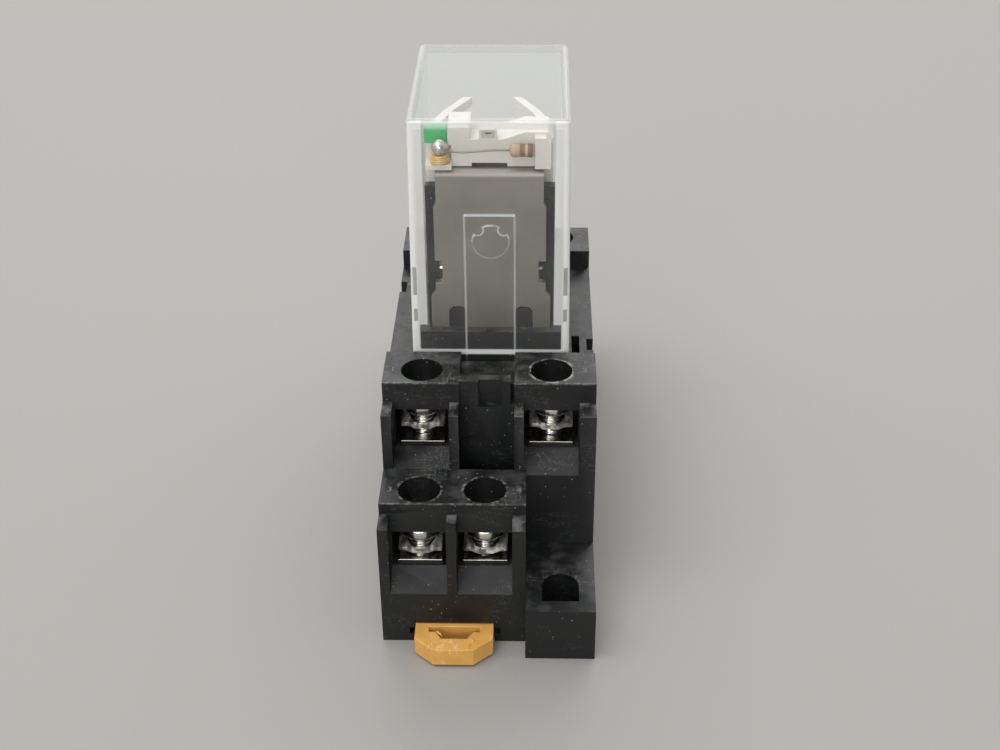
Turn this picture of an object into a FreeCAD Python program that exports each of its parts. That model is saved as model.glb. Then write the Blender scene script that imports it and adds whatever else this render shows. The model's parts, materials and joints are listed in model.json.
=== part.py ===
import FreeCAD
import Part
import Sketcher
import math
import os

# A two-pole plug-in power relay standing in its eight-terminal rail socket.
# Frame: +X across the socket, +Y along it, +Z up along the relay's blades.
# The origin is the centre of the socket's underside. The near end, at -Y, has the rail slider.

SIZES = {
    # Moulded socket housing
    "socket_width": 28.5,
    "deck_height": 29.3,
    "tier_rise": 2.7,
    "lower_tier_height": 20.5,
    "lug_height": 8.2,
    "bay_play": 0.8,
    "upper_tier_depth": 7.95,
    "lower_tier_depth": 7.75,
    "rib_depth": 3.45,
    "upper_rib_drop": 3.0,
    "lower_rib_drop": 1.7,
    "lug_reach": 3.3,
    "lug_rib_width": 1.75,
    "outer_rib_width": 1.35,
    "inner_rib_width": 1.3,
    "wide_rib_width": 2.2,
    "left_rib_gap": 0.15,
    "right_rib_gap": 0.1,
    "channel_floor": 12.0,
    "channel_setback": 0.4,
    "side_wire_sill": 19.6,
    "lower_wire_sill": 8.2,
    # Recess between the upper terminals
    "recess_ledge": 2.2,
    "recess_step": 2.9,
    "recess_rise": 1.2,
    "detail_shift": 0.45,
    "slit_half": 2.4,
    "slit_width": 0.6,
    "slit_overlap": 0.1,
    "slit_depth": 2.0,
    "gap_width": 0.5,
    "gap_depth": 1.0,
    "notch_half": 1.6,
    "notch_setback": 0.95,
    "notch_depth": 1.3,
    "window_half": 1.45,
    "window_setback": 1.6,
    "window_drop": 1.3,
    "window_rise": 0.85,
    # Hold-down slots beside the relay
    "deck_slot_gap": 0.45,
    "deck_slot_width": 1.1,
    "deck_slot_front": 10.5,
    "deck_slot_back": 5.9,
    "deck_notch_cut": 0.95,
    "deck_notch_front": 9.7,
    "deck_notch_back": 6.7,
    "deck_slot_depth": 3.0,
    # Terminals
    "terminal_depth": 10.2,
    "upper_screw_setback": 3.3,
    "lower_screw_setback": 3.1,
    "access_hole_radius": 2.8,
    "pocket_width": 7.3,
    "pocket_back_wall": 1.3,
    "upper_pocket_height": 6.0,
    "lower_pocket_height": 5.6,
    "plate_width": 6.0,
    "plate_thickness": 0.8,
    "plate_play": 0.06,
    "plate_setback": 0.05,
    "strip_width": 4.2,
    "strip_shoulder": 1.0,
    "strip_way_overlap": 2.0,
    "screw_radius": 1.7,
    "screw_length": 5.3,
    "neck_height": 0.3,
    "neck_flare": 1.5,
    "head_radius": 2.6,
    "head_height": 3.3,
    "recess_width": 0.9,
    "recess_half_length": 1.77,
    "recess_depth": 1.2,
    "screw_well_half": 2.3,
    "screw_well_depth": 5.2,
    "thread_hole_gap": 0.03,
    "washer_width": 5.9,
    "washer_depth": 5.0,
    "washer_thickness": 0.6,
    "washer_wing_rise": 0.75,
    "washer_hole_gap": 0.25,
    "upper_screw_lift": 1.3,
    "lower_screw_lift": 0.5,
    # Rail seat, slider and underside
    "rail_seat_half": 17.7,
    "rail_seat_height": 3.2,
    "hook_reach": 1.2,
    "hook_height": 1.9,
    "hook_half_width": 9.0,
    "hook_root": 0.5,
    "floor_plate_thickness": 1.2,
    "floor_plate_side_ledge": 0.8,
    "floor_plate_end_ledge": 1.0,
    "floor_plate_play": 0.1,
    "side_wall": 2.05,
    "end_wall": 1.8,
    "strip_clearance": 2.9,
    "slider_width": 10.5,
    "slider_side_shift": -4.5,
    "slider_bottom": 0.35,
    "slider_thickness": 2.65,
    "slider_reach": 1.85,
    "slider_play": 0.15,
    "slider_runner": 0.7,
    "slider_runner_height": 0.9,
    "slider_runner_front": 1.0,
    "slider_runner_back": 0.6,
    "slider_corner": 2.6,
    "slider_corner_run": 2.34,
    "slider_travel": 3.0,
    "slider_jaw_play": 0.4,
    "slider_hole_back": 4.6,
    "slider_hole_ear": 1.0,
    "slider_hole_depth": 2.3,
    "slider_hole_half": 3.4,
    "slider_hole_neck": 2.5,
    "slider_hole_waist": 1.7,
    "mount_hole_radius": 2.45,
    "mount_hole_wall": 2.1,
    "mount_hole_run": 3.1,
    # Relay casing
    "relay_side_room": 2.45,
    "relay_back_room": 4.414,
    "relay_headroom": 1.3,
    "relay_seat_gap": 0.1,
    "cover_taper": 0.55,
    "cover_wall": 1.0,
    "cover_corner": 0.6,
    "cover_rim": 0.35,
    "panel_half_width": 3.3,
    "panel_bottom": 0.4,
    "panel_height": 22.4,
    "panel_setback": 0.02,
    "gate_radius": 2.4,
    "gate_height": 19.0,
    "gate_rise": 0.15,
    "base_play": 0.12,
    "base_height": 4.7,
    "base_notch_half": 0.6,
    "base_notch_drop": 0.7,
    "base_notch_depth": 1.0,
    "yoke_seat_depth": 0.7,
    "stud_gap": 0.1,
    "stud_height": 2.9,
    "stud_corner": 0.5,
    "guide_half_gap": 7.0,
    "guide_width": 1.6,
    "guide_depth": 1.5,
    "guide_drop": 2.95,
    "guide_gap": 0.15,
    # Blades and receptacles
    "blade_column": 5.25,
    "coil_row_lead": 4.0,
    "common_row_lag": 1.6,
    "blade_width": 4.7,
    "blade_thickness": 0.8,
    "blade_length": 6.2,
    "blade_tip": 1.0,
    "blade_slot_play": 0.3,
    "clip_width": 5.2,
    "clip_wall": 0.5,
    "clip_gap": 0.1,
    "clip_bow": 0.7,
    "clip_height": 5.2,
    "clip_waist": 1.3,
    "clip_foot": 1.5,
    "well_play": 0.25,
    "slot_land": 1.0,
    # Magnet
    "yoke_room": 2.4,
    "yoke_thickness": 1.2,
    "yoke_half_width": 7.45,
    "yoke_leg_half_width": 8.1,
    "yoke_lip": 0.74,
    "yoke_bend_radius": 1.1,
    "yoke_flange": 2.2,
    "yoke_arch_inner": 3.3,
    "yoke_arch_outer": 5.7,
    "yoke_arch_rise": 3.3,
    "yoke_arch_corner": 0.6,
    "yoke_shoulder": 4.5,
    "yoke_shoulder_rise": 1.0,
    "yoke_notch_low": 6.9,
    "yoke_notch_high": 10.2,
    "yoke_notch_depth": 1.0,
    "yoke_neck_drop": 5.3,
    "yoke_neck_rise": 0.5,
    "yoke_neck_step": 0.35,
    "foot_gap": 0.2,
    "foot_half_width": 5.8,
    "foot_margin": 1.5,
    "core_radius": 3.0,
    "pole_radius": 4.4,
    "pole_thickness": 1.0,
    "core_play": 0.02,
    "coil_gap": 0.7,
    "coil_radius": 5.7,
    "bobbin_half_width": 6.1,
    "bobbin_height": 19.1,
    "bobbin_flange": 1.0,
    "bobbin_wall": 0.6,
    "ear_overlap": 0.5,
    "cheek_play": 0.1,
    "armature_half_width": 5.9,
    "armature_thickness": 1.2,
    "armature_closed_gap": 0.06,
    "armature_swing": 4.0,
    "armature_play": 0.25,
    "leg_gap": 0.7,
    "leg_rise": 3.0,
    "armature_bend": 1.0,
    # Contacts
    "leaf_thickness": 0.25,
    "leaf_width": 4.0,
    "leaf_tip": 0.8,
    "leaf_root": 0.5,
    "contact_rise": 10.4,
    "contact_radius": 1.4,
    "button_height": 0.7,
    "contact_gap": 0.06,
    "arm_rise": 1.9,
    "carrier_depth": 1.8,
    "carrier_half_width": 7.4,
    "carrier_height": 5.0,
    "fence_half_width": 0.9,
    "fence_depth": 1.4,
    # Bridge over the armature
    "bridge_half_width": 8.3,
    "bridge_gap": 0.84,
    "bridge_depth": 3.2,
    "bridge_setback": 1.0,
    "bridge_notch_half": 2.3,
    "bridge_notch_rise": 0.5,
    "shelf_height": 2.9,
    "block_height": 5.4,
    "block_inner": 2.5,
    "block_outer": 5.4,
    "saddle_height": 3.8,
    "shoulder_height": 4.8,
    "shoulder_start": 1.6,
    "shoulder_end": 4.6,
    "shoulder_corner": 0.7,
    "catch_centre": -0.15,
    "catch_half": 1.15,
    "catch_height": 1.4,
    "catch_depth": 1.2,
    "hood_width": 2.1,
    "hood_depth": 1.3,
    "hood_bottom": 0.2,
    "hood_top": 4.5,
    "hood_corner": 0.7,
    "arm_width": 1.3,
    "arm_thickness": 1.3,
    "arm_straight": 1.5,
    "arm_bend_run": 6.4,
    "arm_bend_inset": 1.7,
    "arm_reach": 11.2,
    "arm_inset": 4.2,
    # Indicator
    "lamp_width": 3.05,
    "lamp_height": 2.2,
    "lamp_depth": 2.2,
    "lamp_overhang": 0.2,
    "lamp_inset": 0.65,
    "post_column": 6.4,
    "post_lead": 0.6,
    "post_gap": 0.1,
    "wrap_radius": 1.35,
    "wrap_rise": 0.2,
    "wrap_height": 1.6,
    "solder_radius": 1.12,
    "solder_height": 2.25,
    "solder_waist": 1.0,
    "solder_round": 0.45,
    "solder_crown": 0.2,
    "resistor_height": 2.7,
    "resistor_radius": 0.9,
    "resistor_length": 3.2,
    "resistor_start": 2.65,
    "lead_radius": 0.25,
    "lead_gap": 0.03,
    "resistor_gap": 0.05,
    # Braids and their tabs
    "braid_width": 1.2,
    "braid_thickness": 0.8,
    "tab_reach": 1.0,
    "tab_inner": 1.2,
    "tab_root": 0.1,
    "common_tab_height": 4.1,
    "coil_tab_height": 2.7,
    "braid_gap": 0.05,
    "braid_foot_rise": 2.2,
    "braid_end_drop": 1.6,
    "braid_end_inner": 0.8,
    "braid_end_gap": 0.1,
}

doc = FreeCAD.newDocument("relay_with_socket")
sheet = doc.addObject("Spreadsheet::Sheet", "Sizes")


class Size:
    """A length that carries both its value and the expression that gives it."""

    def __init__(self, value, text):
        self.value = value
        self.text = text

    def __add__(self, other):
        other = size_of(other)
        return Size(self.value + other.value, "(%s + %s)" % (self.text, other.text))

    def __radd__(self, other):
        return size_of(other) + self

    def __sub__(self, other):
        other = size_of(other)
        return Size(self.value - other.value, "(%s - %s)" % (self.text, other.text))

    def __rsub__(self, other):
        return size_of(other) - self

    def __mul__(self, factor):
        factor = size_of(factor)
        return Size(self.value * factor.value, "(%s * %s)" % (self.text, factor.text))

    def __rmul__(self, factor):
        return self * factor

    def __truediv__(self, factor):
        factor = size_of(factor)
        return Size(self.value / factor.value, "(%s / %s)" % (self.text, factor.text))

    def __neg__(self):
        return self * -1


def size_of(number):
    """Wraps a plain number."""
    if isinstance(number, Size):
        return number
    return Size(float(number), "(%.9g)" % number)


class Sheet:
    """Each driving dimension by its alias."""


S = Sheet()
for row, (alias, number) in enumerate(SIZES.items(), 1):
    sheet.set("A%d" % row, alias)
    sheet.set("B%d" % row, str(number))
    sheet.setAlias("B%d" % row, alias)
    setattr(S, alias, Size(float(number), "Sizes.%s" % alias))
derived = {}


def named(alias, size):
    """Writes a derived length into the sheet under a name of its own."""
    derived[alias] = size
    row = len(SIZES) + len(derived)
    sheet.set("A%d" % row, alias)
    sheet.set("B%d" % row, "=" + size.text.replace("Sizes.", ""))
    sheet.setAlias("B%d" % row, alias)
    return Size(size.value, "Sizes.%s" % alias)


def bind(thing, path, size):
    """Sets a property and ties it to the sheet."""
    size = size_of(size)
    thing.setExpression(path, size.text)


def place(thing, x=0, y=0, z=0):
    """Puts an object at a corner or centre given by sizes."""
    bind(thing, "Placement.Base.x", x)
    bind(thing, "Placement.Base.y", y)
    bind(thing, "Placement.Base.z", z)
    return thing


def box(name, x, y, z):
    """A box between pairs of limits."""
    solid = doc.addObject("Part::Box", name)
    bind(solid, "Length", x[1] - size_of(x[0]))
    bind(solid, "Width", y[1] - size_of(y[0]))
    bind(solid, "Height", z[1] - size_of(z[0]))
    return place(solid, x[0], y[0], z[0])


def post(name, x, y, z, radius):
    """An upright cylinder between two heights."""
    solid = doc.addObject("Part::Cylinder", name)
    bind(solid, "Radius", radius)
    bind(solid, "Height", z[1] - size_of(z[0]))
    return place(solid, x, y, z[0])


def fuse(name, solids):
    """One solid from several that touch or overlap."""
    if len(solids) == 1:
        return solids[0]
    joined = doc.addObject("Part::MultiFuse", name)
    joined.Shapes = solids
    joined.Refine = True
    return joined


def cut(name, solid, tools):
    """A solid less its tools."""
    left = doc.addObject("Part::Cut", name)
    left.Base = solid
    left.Tool = fuse(name + "_tools", tools)
    left.Refine = True
    return left


def turn_round(thing):
    """Turns an object half a turn about the upright axis through the origin."""
    half_turn = FreeCAD.Rotation(FreeCAD.Vector(0, 0, 1), 180)
    thing.Placement = FreeCAD.Placement(FreeCAD.Vector(0, 0, 0), half_turn)
    return thing


def origin_plane(body, role):
    """One of a body's own origin planes."""
    for plane in body.Origin.OriginFeatures:
        if plane.Role == role:
            return plane
    raise ValueError("no origin plane " + role)


def new_body(name):
    """An empty body for one sub-part."""
    body = doc.addObject("PartDesign::Body", name)
    doc.recompute()
    return body


def outline(body, name, role, points=(), circles=(), offset=0):
    """A sketch of closed outlines and circles on an origin plane, every point tied to the sheet."""
    sketch = body.newObject("Sketcher::SketchObject", name)
    sketch.AttachmentSupport = [(origin_plane(body, role), "")]
    sketch.MapMode = "FlatFace"
    bind(sketch, "AttachmentOffset.Base.z", offset)
    loops = [points] if points and isinstance(points[0][0], (Size, int, float)) else points
    ties = []
    for loop in loops:
        loop = [(size_of(u), size_of(v)) for u, v in loop]
        first = sketch.GeometryCount
        for i, (u, v) in enumerate(loop):
            nu, nv = loop[(i + 1) % len(loop)]
            start = FreeCAD.Vector(u.value, v.value, 0)
            end = FreeCAD.Vector(nu.value, nv.value, 0)
            sketch.addGeometry(Part.LineSegment(start, end))
        for i, (u, v) in enumerate(loop):
            after = first + (i + 1) % len(loop)
            sketch.addConstraint(Sketcher.Constraint("Coincident", first + i, 2, after, 1))
            ties.append((first + i, 1, u, v))
    for u, v, radius in circles:
        u, v, radius = size_of(u), size_of(v), size_of(radius)
        centre = FreeCAD.Vector(u.value, v.value, 0)
        ring = Part.Circle(centre, FreeCAD.Vector(0, 0, 1), radius.value)
        index = sketch.addGeometry(ring)
        ties.append((index, 3, u, v))
        number = sketch.addConstraint(Sketcher.Constraint("Radius", index, radius.value))
        sketch.setExpression("Constraints[%d]" % number, radius.text)
    for index, point, u, v in ties:
        for kind, coordinate in (("DistanceX", u), ("DistanceY", v)):
            tie = Sketcher.Constraint(kind, -1, 1, index, point, coordinate.value)
            number = sketch.addConstraint(tie)
            sketch.setExpression("Constraints[%d]" % number, coordinate.text)
    return sketch


# The direction that each origin plane's normal points along its axis.
NORMAL = {"XY_Plane": 1, "XZ_Plane": -1, "YZ_Plane": 1}


def pad(body, name, role, span, points=(), circles=()):
    """A pad of an outline between two places along the plane's axis."""
    low, high = size_of(span[0]), size_of(span[1])
    start = low if NORMAL[role] > 0 else -high
    feature = body.newObject("PartDesign::Pad", name)
    feature.Profile = outline(body, name + "_outline", role, points, circles, start)
    bind(feature, "Length", high - low)
    body.Tip = feature
    return feature


def pocket(body, name, role, span, points=(), circles=()):
    """A pocket of an outline between two places along the plane's axis, which must remove something."""
    doc.recompute()
    before = body.Shape.Volume
    low, high = size_of(span[0]), size_of(span[1])
    start = high if NORMAL[role] > 0 else -low
    feature = body.newObject("PartDesign::Pocket", name)
    feature.Profile = outline(body, name + "_outline", role, points, circles, start)
    bind(feature, "Length", high - low)
    body.Tip = feature
    doc.recompute()
    if body.Shape.Volume > before - 1e-6:
        raise ValueError(name + " removes nothing")
    return feature


def rectangle(u, v):
    """The corners of a rectangle between two pairs of limits."""
    return [(u[0], v[0]), (u[1], v[0]), (u[1], v[1]), (u[0], v[1])]


def about(centre, half):
    """A pair of limits on both sides of a centre."""
    return (centre - size_of(half), centre + size_of(half))


def edge_names(shape, wanted):
    """The names of the edges whose centre and direction pass a test."""
    names = []
    for number, edge in enumerate(shape.Edges, 1):
        if edge.Length > 1e-6 and wanted(edge.CenterOfMass, edge.tangentAt(edge.FirstParameter)):
            names.append("Edge%d" % number)
    return names


def face_names(shape, wanted):
    """The names of the faces whose outward way passes a test."""
    named_faces = enumerate(shape.Faces, 1)
    return ["Face%d" % number for number, face in named_faces if wanted(face.normalAt(0, 0))]


def dress(body, kind, name, size, wanted):
    """A fillet or chamfer on the edges that pass a test."""
    doc.recompute()
    base = body.Tip
    names = edge_names(base.Shape, wanted)
    if not names:
        raise ValueError(name + " finds no edge")
    feature = body.newObject("PartDesign::" + kind, name)
    feature.Base = (base, names)
    bind(feature, "Radius" if kind == "Fillet" else "Size", size)
    body.Tip = feature
    doc.recompute()
    return feature


parts = {}


def finish(name, thing):
    """Names a sub-part after its node."""
    thing.Label = name
    parts[name] = thing
    return thing


# Heights of the housing and its terminals.
tier_top = named("tier_top", S.deck_height + S.tier_rise)
upper_floor = named("upper_floor", tier_top - S.terminal_depth)
lower_floor = named("lower_floor", S.lower_tier_height - S.terminal_depth)
cavity_top = named("cavity_top", lower_floor + S.strip_clearance)

# Heights inside the relay, from its seat on the deck up to the cover.
seat_height = named("seat_height", S.deck_height + S.relay_seat_gap)
base_top = named("base_top", seat_height + S.base_height)
foot_low = named("foot_low", base_top + S.foot_gap)
bobbin_low = named("bobbin_low", foot_low + S.yoke_thickness)
bobbin_high = named("bobbin_high", bobbin_low + S.bobbin_height)
pole_top = named("pole_top", bobbin_high + S.pole_thickness)
hinge_z = named("hinge_z", pole_top + S.armature_closed_gap)
armature_top = named("armature_top", hinge_z + S.armature_thickness)
yoke_top = named("yoke_top", armature_top + S.yoke_lip)
contact_height = named("contact_height", base_top + S.contact_rise)
leg_bottom = named("leg_bottom", contact_height + S.leg_rise)
bridge_bottom = named("bridge_bottom", armature_top + S.bridge_gap)
shelf_top = named("shelf_top", bridge_bottom + S.shelf_height)
block_top = named("block_top", bridge_bottom + S.block_height)
cover_top = named("cover_top", block_top + S.relay_headroom + S.cover_wall)

# The relay's length follows from what stands in it: yoke, coil, armature and contacts.
swing = S.armature_swing.value
swing_sine = Size(math.sin(math.radians(swing)), "sin(Sizes.armature_swing * 1 deg)")
reach_down = hinge_z - contact_height + S.contact_radius
contact_travel = named("contact_travel", reach_down * swing_sine)
coil_run = S.coil_gap + 2 * S.bobbin_half_width + S.leg_gap
contact_run = S.carrier_depth + S.leaf_thickness + 2 * S.button_height + contact_travel + S.contact_gap
metal_run = S.yoke_thickness + S.armature_thickness + S.blade_thickness
room = S.yoke_room + S.relay_back_room
half_length = named("relay_half_length", (room + metal_run + coil_run + contact_run) / 2)
half_case = named("relay_half_width", S.bridge_half_width + S.relay_side_room)

# Rows of the relay, from the near end: coil, common, normally open, normally closed.
yoke_front = named("yoke_front", S.yoke_room - half_length)
yoke_back = named("yoke_back", yoke_front + S.yoke_thickness)
coil_centre = named("coil_centre", yoke_back + S.coil_gap + S.bobbin_half_width)
coil_row = named("coil_row", coil_centre - S.coil_row_lead)
common_row = named("common_row", coil_centre + S.common_row_lag)
hinge_y = named("hinge_y", yoke_front + S.yoke_flange + S.armature_play)
leg_front = named("leg_front", coil_centre + S.bobbin_half_width + S.leg_gap)
leg_back = named("leg_back", leg_front + S.armature_thickness)
leaf_front = named("leaf_front", leg_back + S.carrier_depth)
leaf_back = named("leaf_back", leaf_front + S.leaf_thickness)
open_face = named("open_face", leaf_front - S.button_height - S.contact_gap)
open_row = named("open_row", open_face - S.button_height - S.blade_thickness / 2)
closed_face = named("closed_face", leaf_back + S.button_height + contact_travel + S.contact_gap)
closed_row = named("closed_row", closed_face + S.button_height + S.blade_thickness / 2)
ROWS = (coil_row, common_row, open_row, closed_row)

# Lengths inside the relay's top, from the near end.
guide_front = named("guide_front", yoke_back + S.armature_play)
guide_back = named("guide_back", guide_front + S.guide_depth)
bridge_front = named("bridge_front", yoke_front + S.bridge_setback)
ear_front = named("ear_front", guide_back + S.guide_gap)
bridge_back = named("bridge_back", ear_front + S.bridge_depth)
post_line = named("post_line", bridge_front - S.post_lead)

# Lengths along the socket's near end, all counted towards -Y from the relay bay.
half_width = named("half_width", S.socket_width / 2)
bay_face = named("bay_face", -half_length - S.bay_play)
upper_face = named("upper_face", bay_face - S.upper_tier_depth)
upper_front = named("upper_front", upper_face - S.rib_depth)
lower_face = named("lower_face", upper_front - S.lower_tier_depth)
lower_front = named("lower_front", lower_face - S.rib_depth)
lug_front = named("lug_front", lower_front - S.lug_reach)
cavity_half_width = named("cavity_half_width", half_width - S.side_wall)
cavity_half_length = named("cavity_half_length", -bay_face - S.end_wall)

# The three terminal columns, left to right as seen from the near end.
pocket_half = named("pocket_half", S.pocket_width / 2)
left_column = named("left_column", S.outer_rib_width + S.left_rib_gap + pocket_half - half_width)
right_column = named("right_column", half_width - S.wide_rib_width - S.right_rib_gap - pocket_half)
middle_column = named("middle_column", (left_column + right_column) / 2)
lug_side = named("lug_side", middle_column + pocket_half + S.lug_rib_width)

UPPER = {
    "line": named("upper_line", upper_face + S.upper_screw_setback),
    "face": upper_face,
    "back": named("upper_back", bay_face - S.pocket_back_wall),
    "top": tier_top,
    "floor": upper_floor,
    "roof": named("upper_roof", upper_floor + S.upper_pocket_height),
    "lift": S.upper_screw_lift,
}
LOWER = {
    "line": named("lower_line", lower_face + S.lower_screw_setback),
    "face": lower_face,
    "back": named("lower_back", upper_front - S.pocket_back_wall),
    "top": S.lower_tier_height,
    "floor": lower_floor,
    "roof": named("lower_roof", lower_floor + S.lower_pocket_height),
    "lift": S.lower_screw_lift,
}
# Each terminal at the near end: its column, its tier and the side on which its blade stands.
TERMINALS = (
    (left_column, UPPER, -1),
    (right_column, UPPER, 1),
    (left_column, LOWER, -1),
    (middle_column, LOWER, 1),
)
doc.recompute()


def tier_ribs(tag, spans, face, top):
    """Upright ribs in front of one tier's face."""
    return [
        box("%s_rib_%d" % (tag, i), span, (face - S.rib_depth, face), (0, top))
        for i, span in enumerate(spans, 1)
    ]


def sill(tag, x, face, high, low):
    """The sloped floor in front of a tier, on which a wire is led in, down to the underside."""
    body = new_body(tag)
    points = [(face - S.rib_depth, 0), (face, 0), (face, high), (face - S.rib_depth, low)]
    pad(body, tag + "_pad", "YZ_Plane", x, points)
    return body


def socket_end(tag):
    """One end of the housing, with its two tiers, ribs, sills, lug and pockets."""
    left_rib = left_column + pocket_half + S.left_rib_gap
    right_rib = right_column - pocket_half
    lower_rib = middle_column - pocket_half
    upper_ribs = (
        (-half_width, -half_width + S.outer_rib_width),
        (left_rib, left_rib + S.inner_rib_width),
        (right_rib - S.inner_rib_width, right_rib),
        (half_width - S.wide_rib_width, half_width),
    )
    lower_ribs = (
        (-half_width, -half_width + S.outer_rib_width),
        (lower_rib - S.inner_rib_width, lower_rib),
        (middle_column + pocket_half, lug_side),
    )
    channel_left = upper_ribs[1][1]
    channel_right = upper_ribs[2][0]
    upper_body = (upper_face, bay_face)
    lower_body = (lower_face, upper_front)
    left = (-half_width, channel_left)
    right = (channel_right, half_width)
    channel = (channel_left, channel_right)
    low = (-half_width, lug_side)
    solids = [
        box(tag + "_upper", (-half_width, half_width), upper_body, (0, tier_top)),
        sill(tag + "_sill_left", left, upper_face, upper_floor, S.lower_tier_height),
        sill(tag + "_sill_right", right, upper_face, upper_floor, S.side_wire_sill),
        box(tag + "_channel", channel, (upper_front, upper_face), (0, S.channel_floor)),
        box(tag + "_lower", low, lower_body, (0, S.lower_tier_height)),
        sill(tag + "_sill_low", low, lower_face, lower_floor, S.lower_wire_sill),
        box(tag + "_lug", (lug_side, half_width), (lug_front, upper_front), (0, S.lug_height)),
    ]
    solids += tier_ribs(tag + "_upper", upper_ribs, upper_face, tier_top - S.upper_rib_drop)
    solids += tier_ribs(tag + "_lower", lower_ribs, lower_face, S.lower_tier_height - S.lower_rib_drop)
    tools = []
    for number, (x, tier, side) in enumerate(TERMINALS, 1):
        tools += terminal_cuts("%s_%d" % (tag, number), x, tier)
    tools += bridge_cuts(tag, channel_left, channel_right)
    tools.append(mount_hole(tag))
    return cut(tag, fuse(tag + "_solids", solids), tools)


def terminal_cuts(tag, x, tier):
    """The driver hole, wire pocket, plate slot and screw well of one terminal."""
    back = tier["back"]
    slot = (tier["floor"], tier["floor"] + S.plate_thickness + 2 * S.plate_play)
    well = (tier["floor"] - S.screw_well_depth, tier["floor"])
    well_half = S.screw_well_half
    return [
        post(tag + "_access", x, tier["line"], (tier["floor"], tier["top"]), S.access_hole_radius),
        box(tag + "_pocket", about(x, pocket_half), (tier["face"], back), (tier["floor"], tier["roof"])),
        box(tag + "_slot", about(x, S.plate_width / 2 + S.plate_play), (back, bay_face), slot),
        box(tag + "_well", about(x, well_half), about(tier["line"], well_half), well),
    ]


def bridge_cuts(tag, left, right):
    """The stepped recess between the two upper terminals, with its front ledge, slot and window."""
    ledge = upper_face + S.recess_ledge
    step = bay_face - S.recess_step
    low = S.deck_height
    middle = (left + right) / 2 + S.detail_shift
    setback = (upper_face, upper_face + S.channel_setback)
    slit_run = (ledge - S.slit_overlap, ledge + S.slit_width)
    notch_run = (upper_face, upper_face + S.notch_setback)
    window_run = (upper_face, upper_face + S.window_setback)
    window_height = (low - S.window_drop, low + S.window_rise)
    return [
        box(tag + "_setback", (left, right), setback, (S.channel_floor, tier_top)),
        box(tag + "_recess_back", (left, right), (step, bay_face), (low, tier_top)),
        box(tag + "_recess", (left, right), (ledge, step), (low + S.recess_rise, tier_top)),
        box(tag + "_slit", about(middle, S.slit_half), slit_run, (low - S.slit_depth, tier_top)),
        box(tag + "_gap", (right - S.gap_width, right), (upper_face, ledge), (low - S.gap_depth, tier_top)),
        box(tag + "_notch", about(middle, S.notch_half), notch_run, (low - S.notch_depth, tier_top)),
        box(tag + "_window", about(middle, S.window_half), window_run, window_height),
    ]


def mount_hole(tag):
    """The lug's fixing hole, round at the back and square at the front."""
    x = (lug_side + half_width) / 2
    radius = S.mount_hole_radius
    front = lug_front + S.mount_hole_wall
    back = front + S.mount_hole_run
    solids = [
        post(tag + "_hole_round", x, back, (0, S.lug_height), radius),
        box(tag + "_hole_square", about(x, radius), (front, back), (0, S.lug_height)),
    ]
    return fuse(tag + "_hole", solids)


def deck_cuts():
    """Blade slots, receptacle wells and the two hold-down slots in the deck under the relay."""
    tools = []
    slot_half = S.blade_width / 2 + S.blade_slot_play
    slot_thick = S.blade_thickness / 2 + S.blade_slot_play
    well_half = S.clip_width / 2 + S.well_play
    well_thick = S.clip_bow + S.clip_wall + S.blade_thickness / 2 + S.well_play
    clip_foot = upper_floor + S.plate_thickness + 2 * S.plate_play
    top = clip_foot + S.clip_height + S.well_play
    low = cavity_top - S.slot_land
    for number, row in enumerate(ROWS, 1):
        for side in (-1, 1):
            x = side * S.blade_column
            tag = "blade_%d_%s" % (number, "left" if side < 0 else "right")
            slot_height = (top - S.slot_land, S.deck_height)
            tools.append(box(tag + "_slot", about(x, slot_half), about(row, slot_thick), slot_height))
            tools.append(box(tag + "_well", about(x, well_half), about(row, well_thick), (low, top)))
    height = (S.deck_height - S.deck_slot_depth, S.deck_height)
    slot_side = half_case + S.deck_slot_gap
    slot = (slot_side, slot_side + S.deck_slot_width)
    slot_run = (-S.deck_slot_front, -S.deck_slot_back)
    notch = (half_width - S.deck_notch_cut, half_width)
    notch_run = (-S.deck_notch_front, -S.deck_notch_back)
    for tag, x, y in (("deck_slot", slot, slot_run), ("deck_notch", notch, notch_run)):
        tools.append(box(tag + "_near", x, y, height))
        tools.append(box(tag + "_far", (-x[1], -x[0]), (-y[1], -y[0]), height))
    return tools


def underside_cuts():
    """The rail seat, the floor plate's recess, the strip cavity and the slider's way."""
    seat = S.rail_seat_height
    plate_top = seat + S.floor_plate_thickness
    x = S.slider_side_shift
    side = S.slider_width / 2 + S.slider_play
    runner = side + S.slider_runner
    run = (lower_front, -S.rail_seat_half)
    middle = S.slider_bottom + S.slider_thickness / 2
    groove = about(middle, S.slider_runner_height / 2 + S.slider_play)
    lid_half = cavity_half_width + S.floor_plate_side_ledge + S.floor_plate_play
    lid_length = cavity_half_length + S.floor_plate_end_ledge + S.floor_plate_play
    cavity_half = cavity_half_width
    cavity_length = cavity_half_length
    way_top = S.slider_bottom + S.slider_thickness + S.slider_play
    return [
        box("rail_seat", (-half_width, half_width), (-S.rail_seat_half, S.rail_seat_half), (0, seat)),
        box("floor_plate_recess", (-lid_half, lid_half), (-lid_length, lid_length), (seat, plate_top)),
        box("strip_cavity", (-cavity_half, cavity_half), (-cavity_length, cavity_length),
            (plate_top, cavity_top)),
        box("slider_way", about(x, side), run, (0, way_top)),
        box("slider_grooves", about(x, runner), run, groove),
    ]


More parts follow.
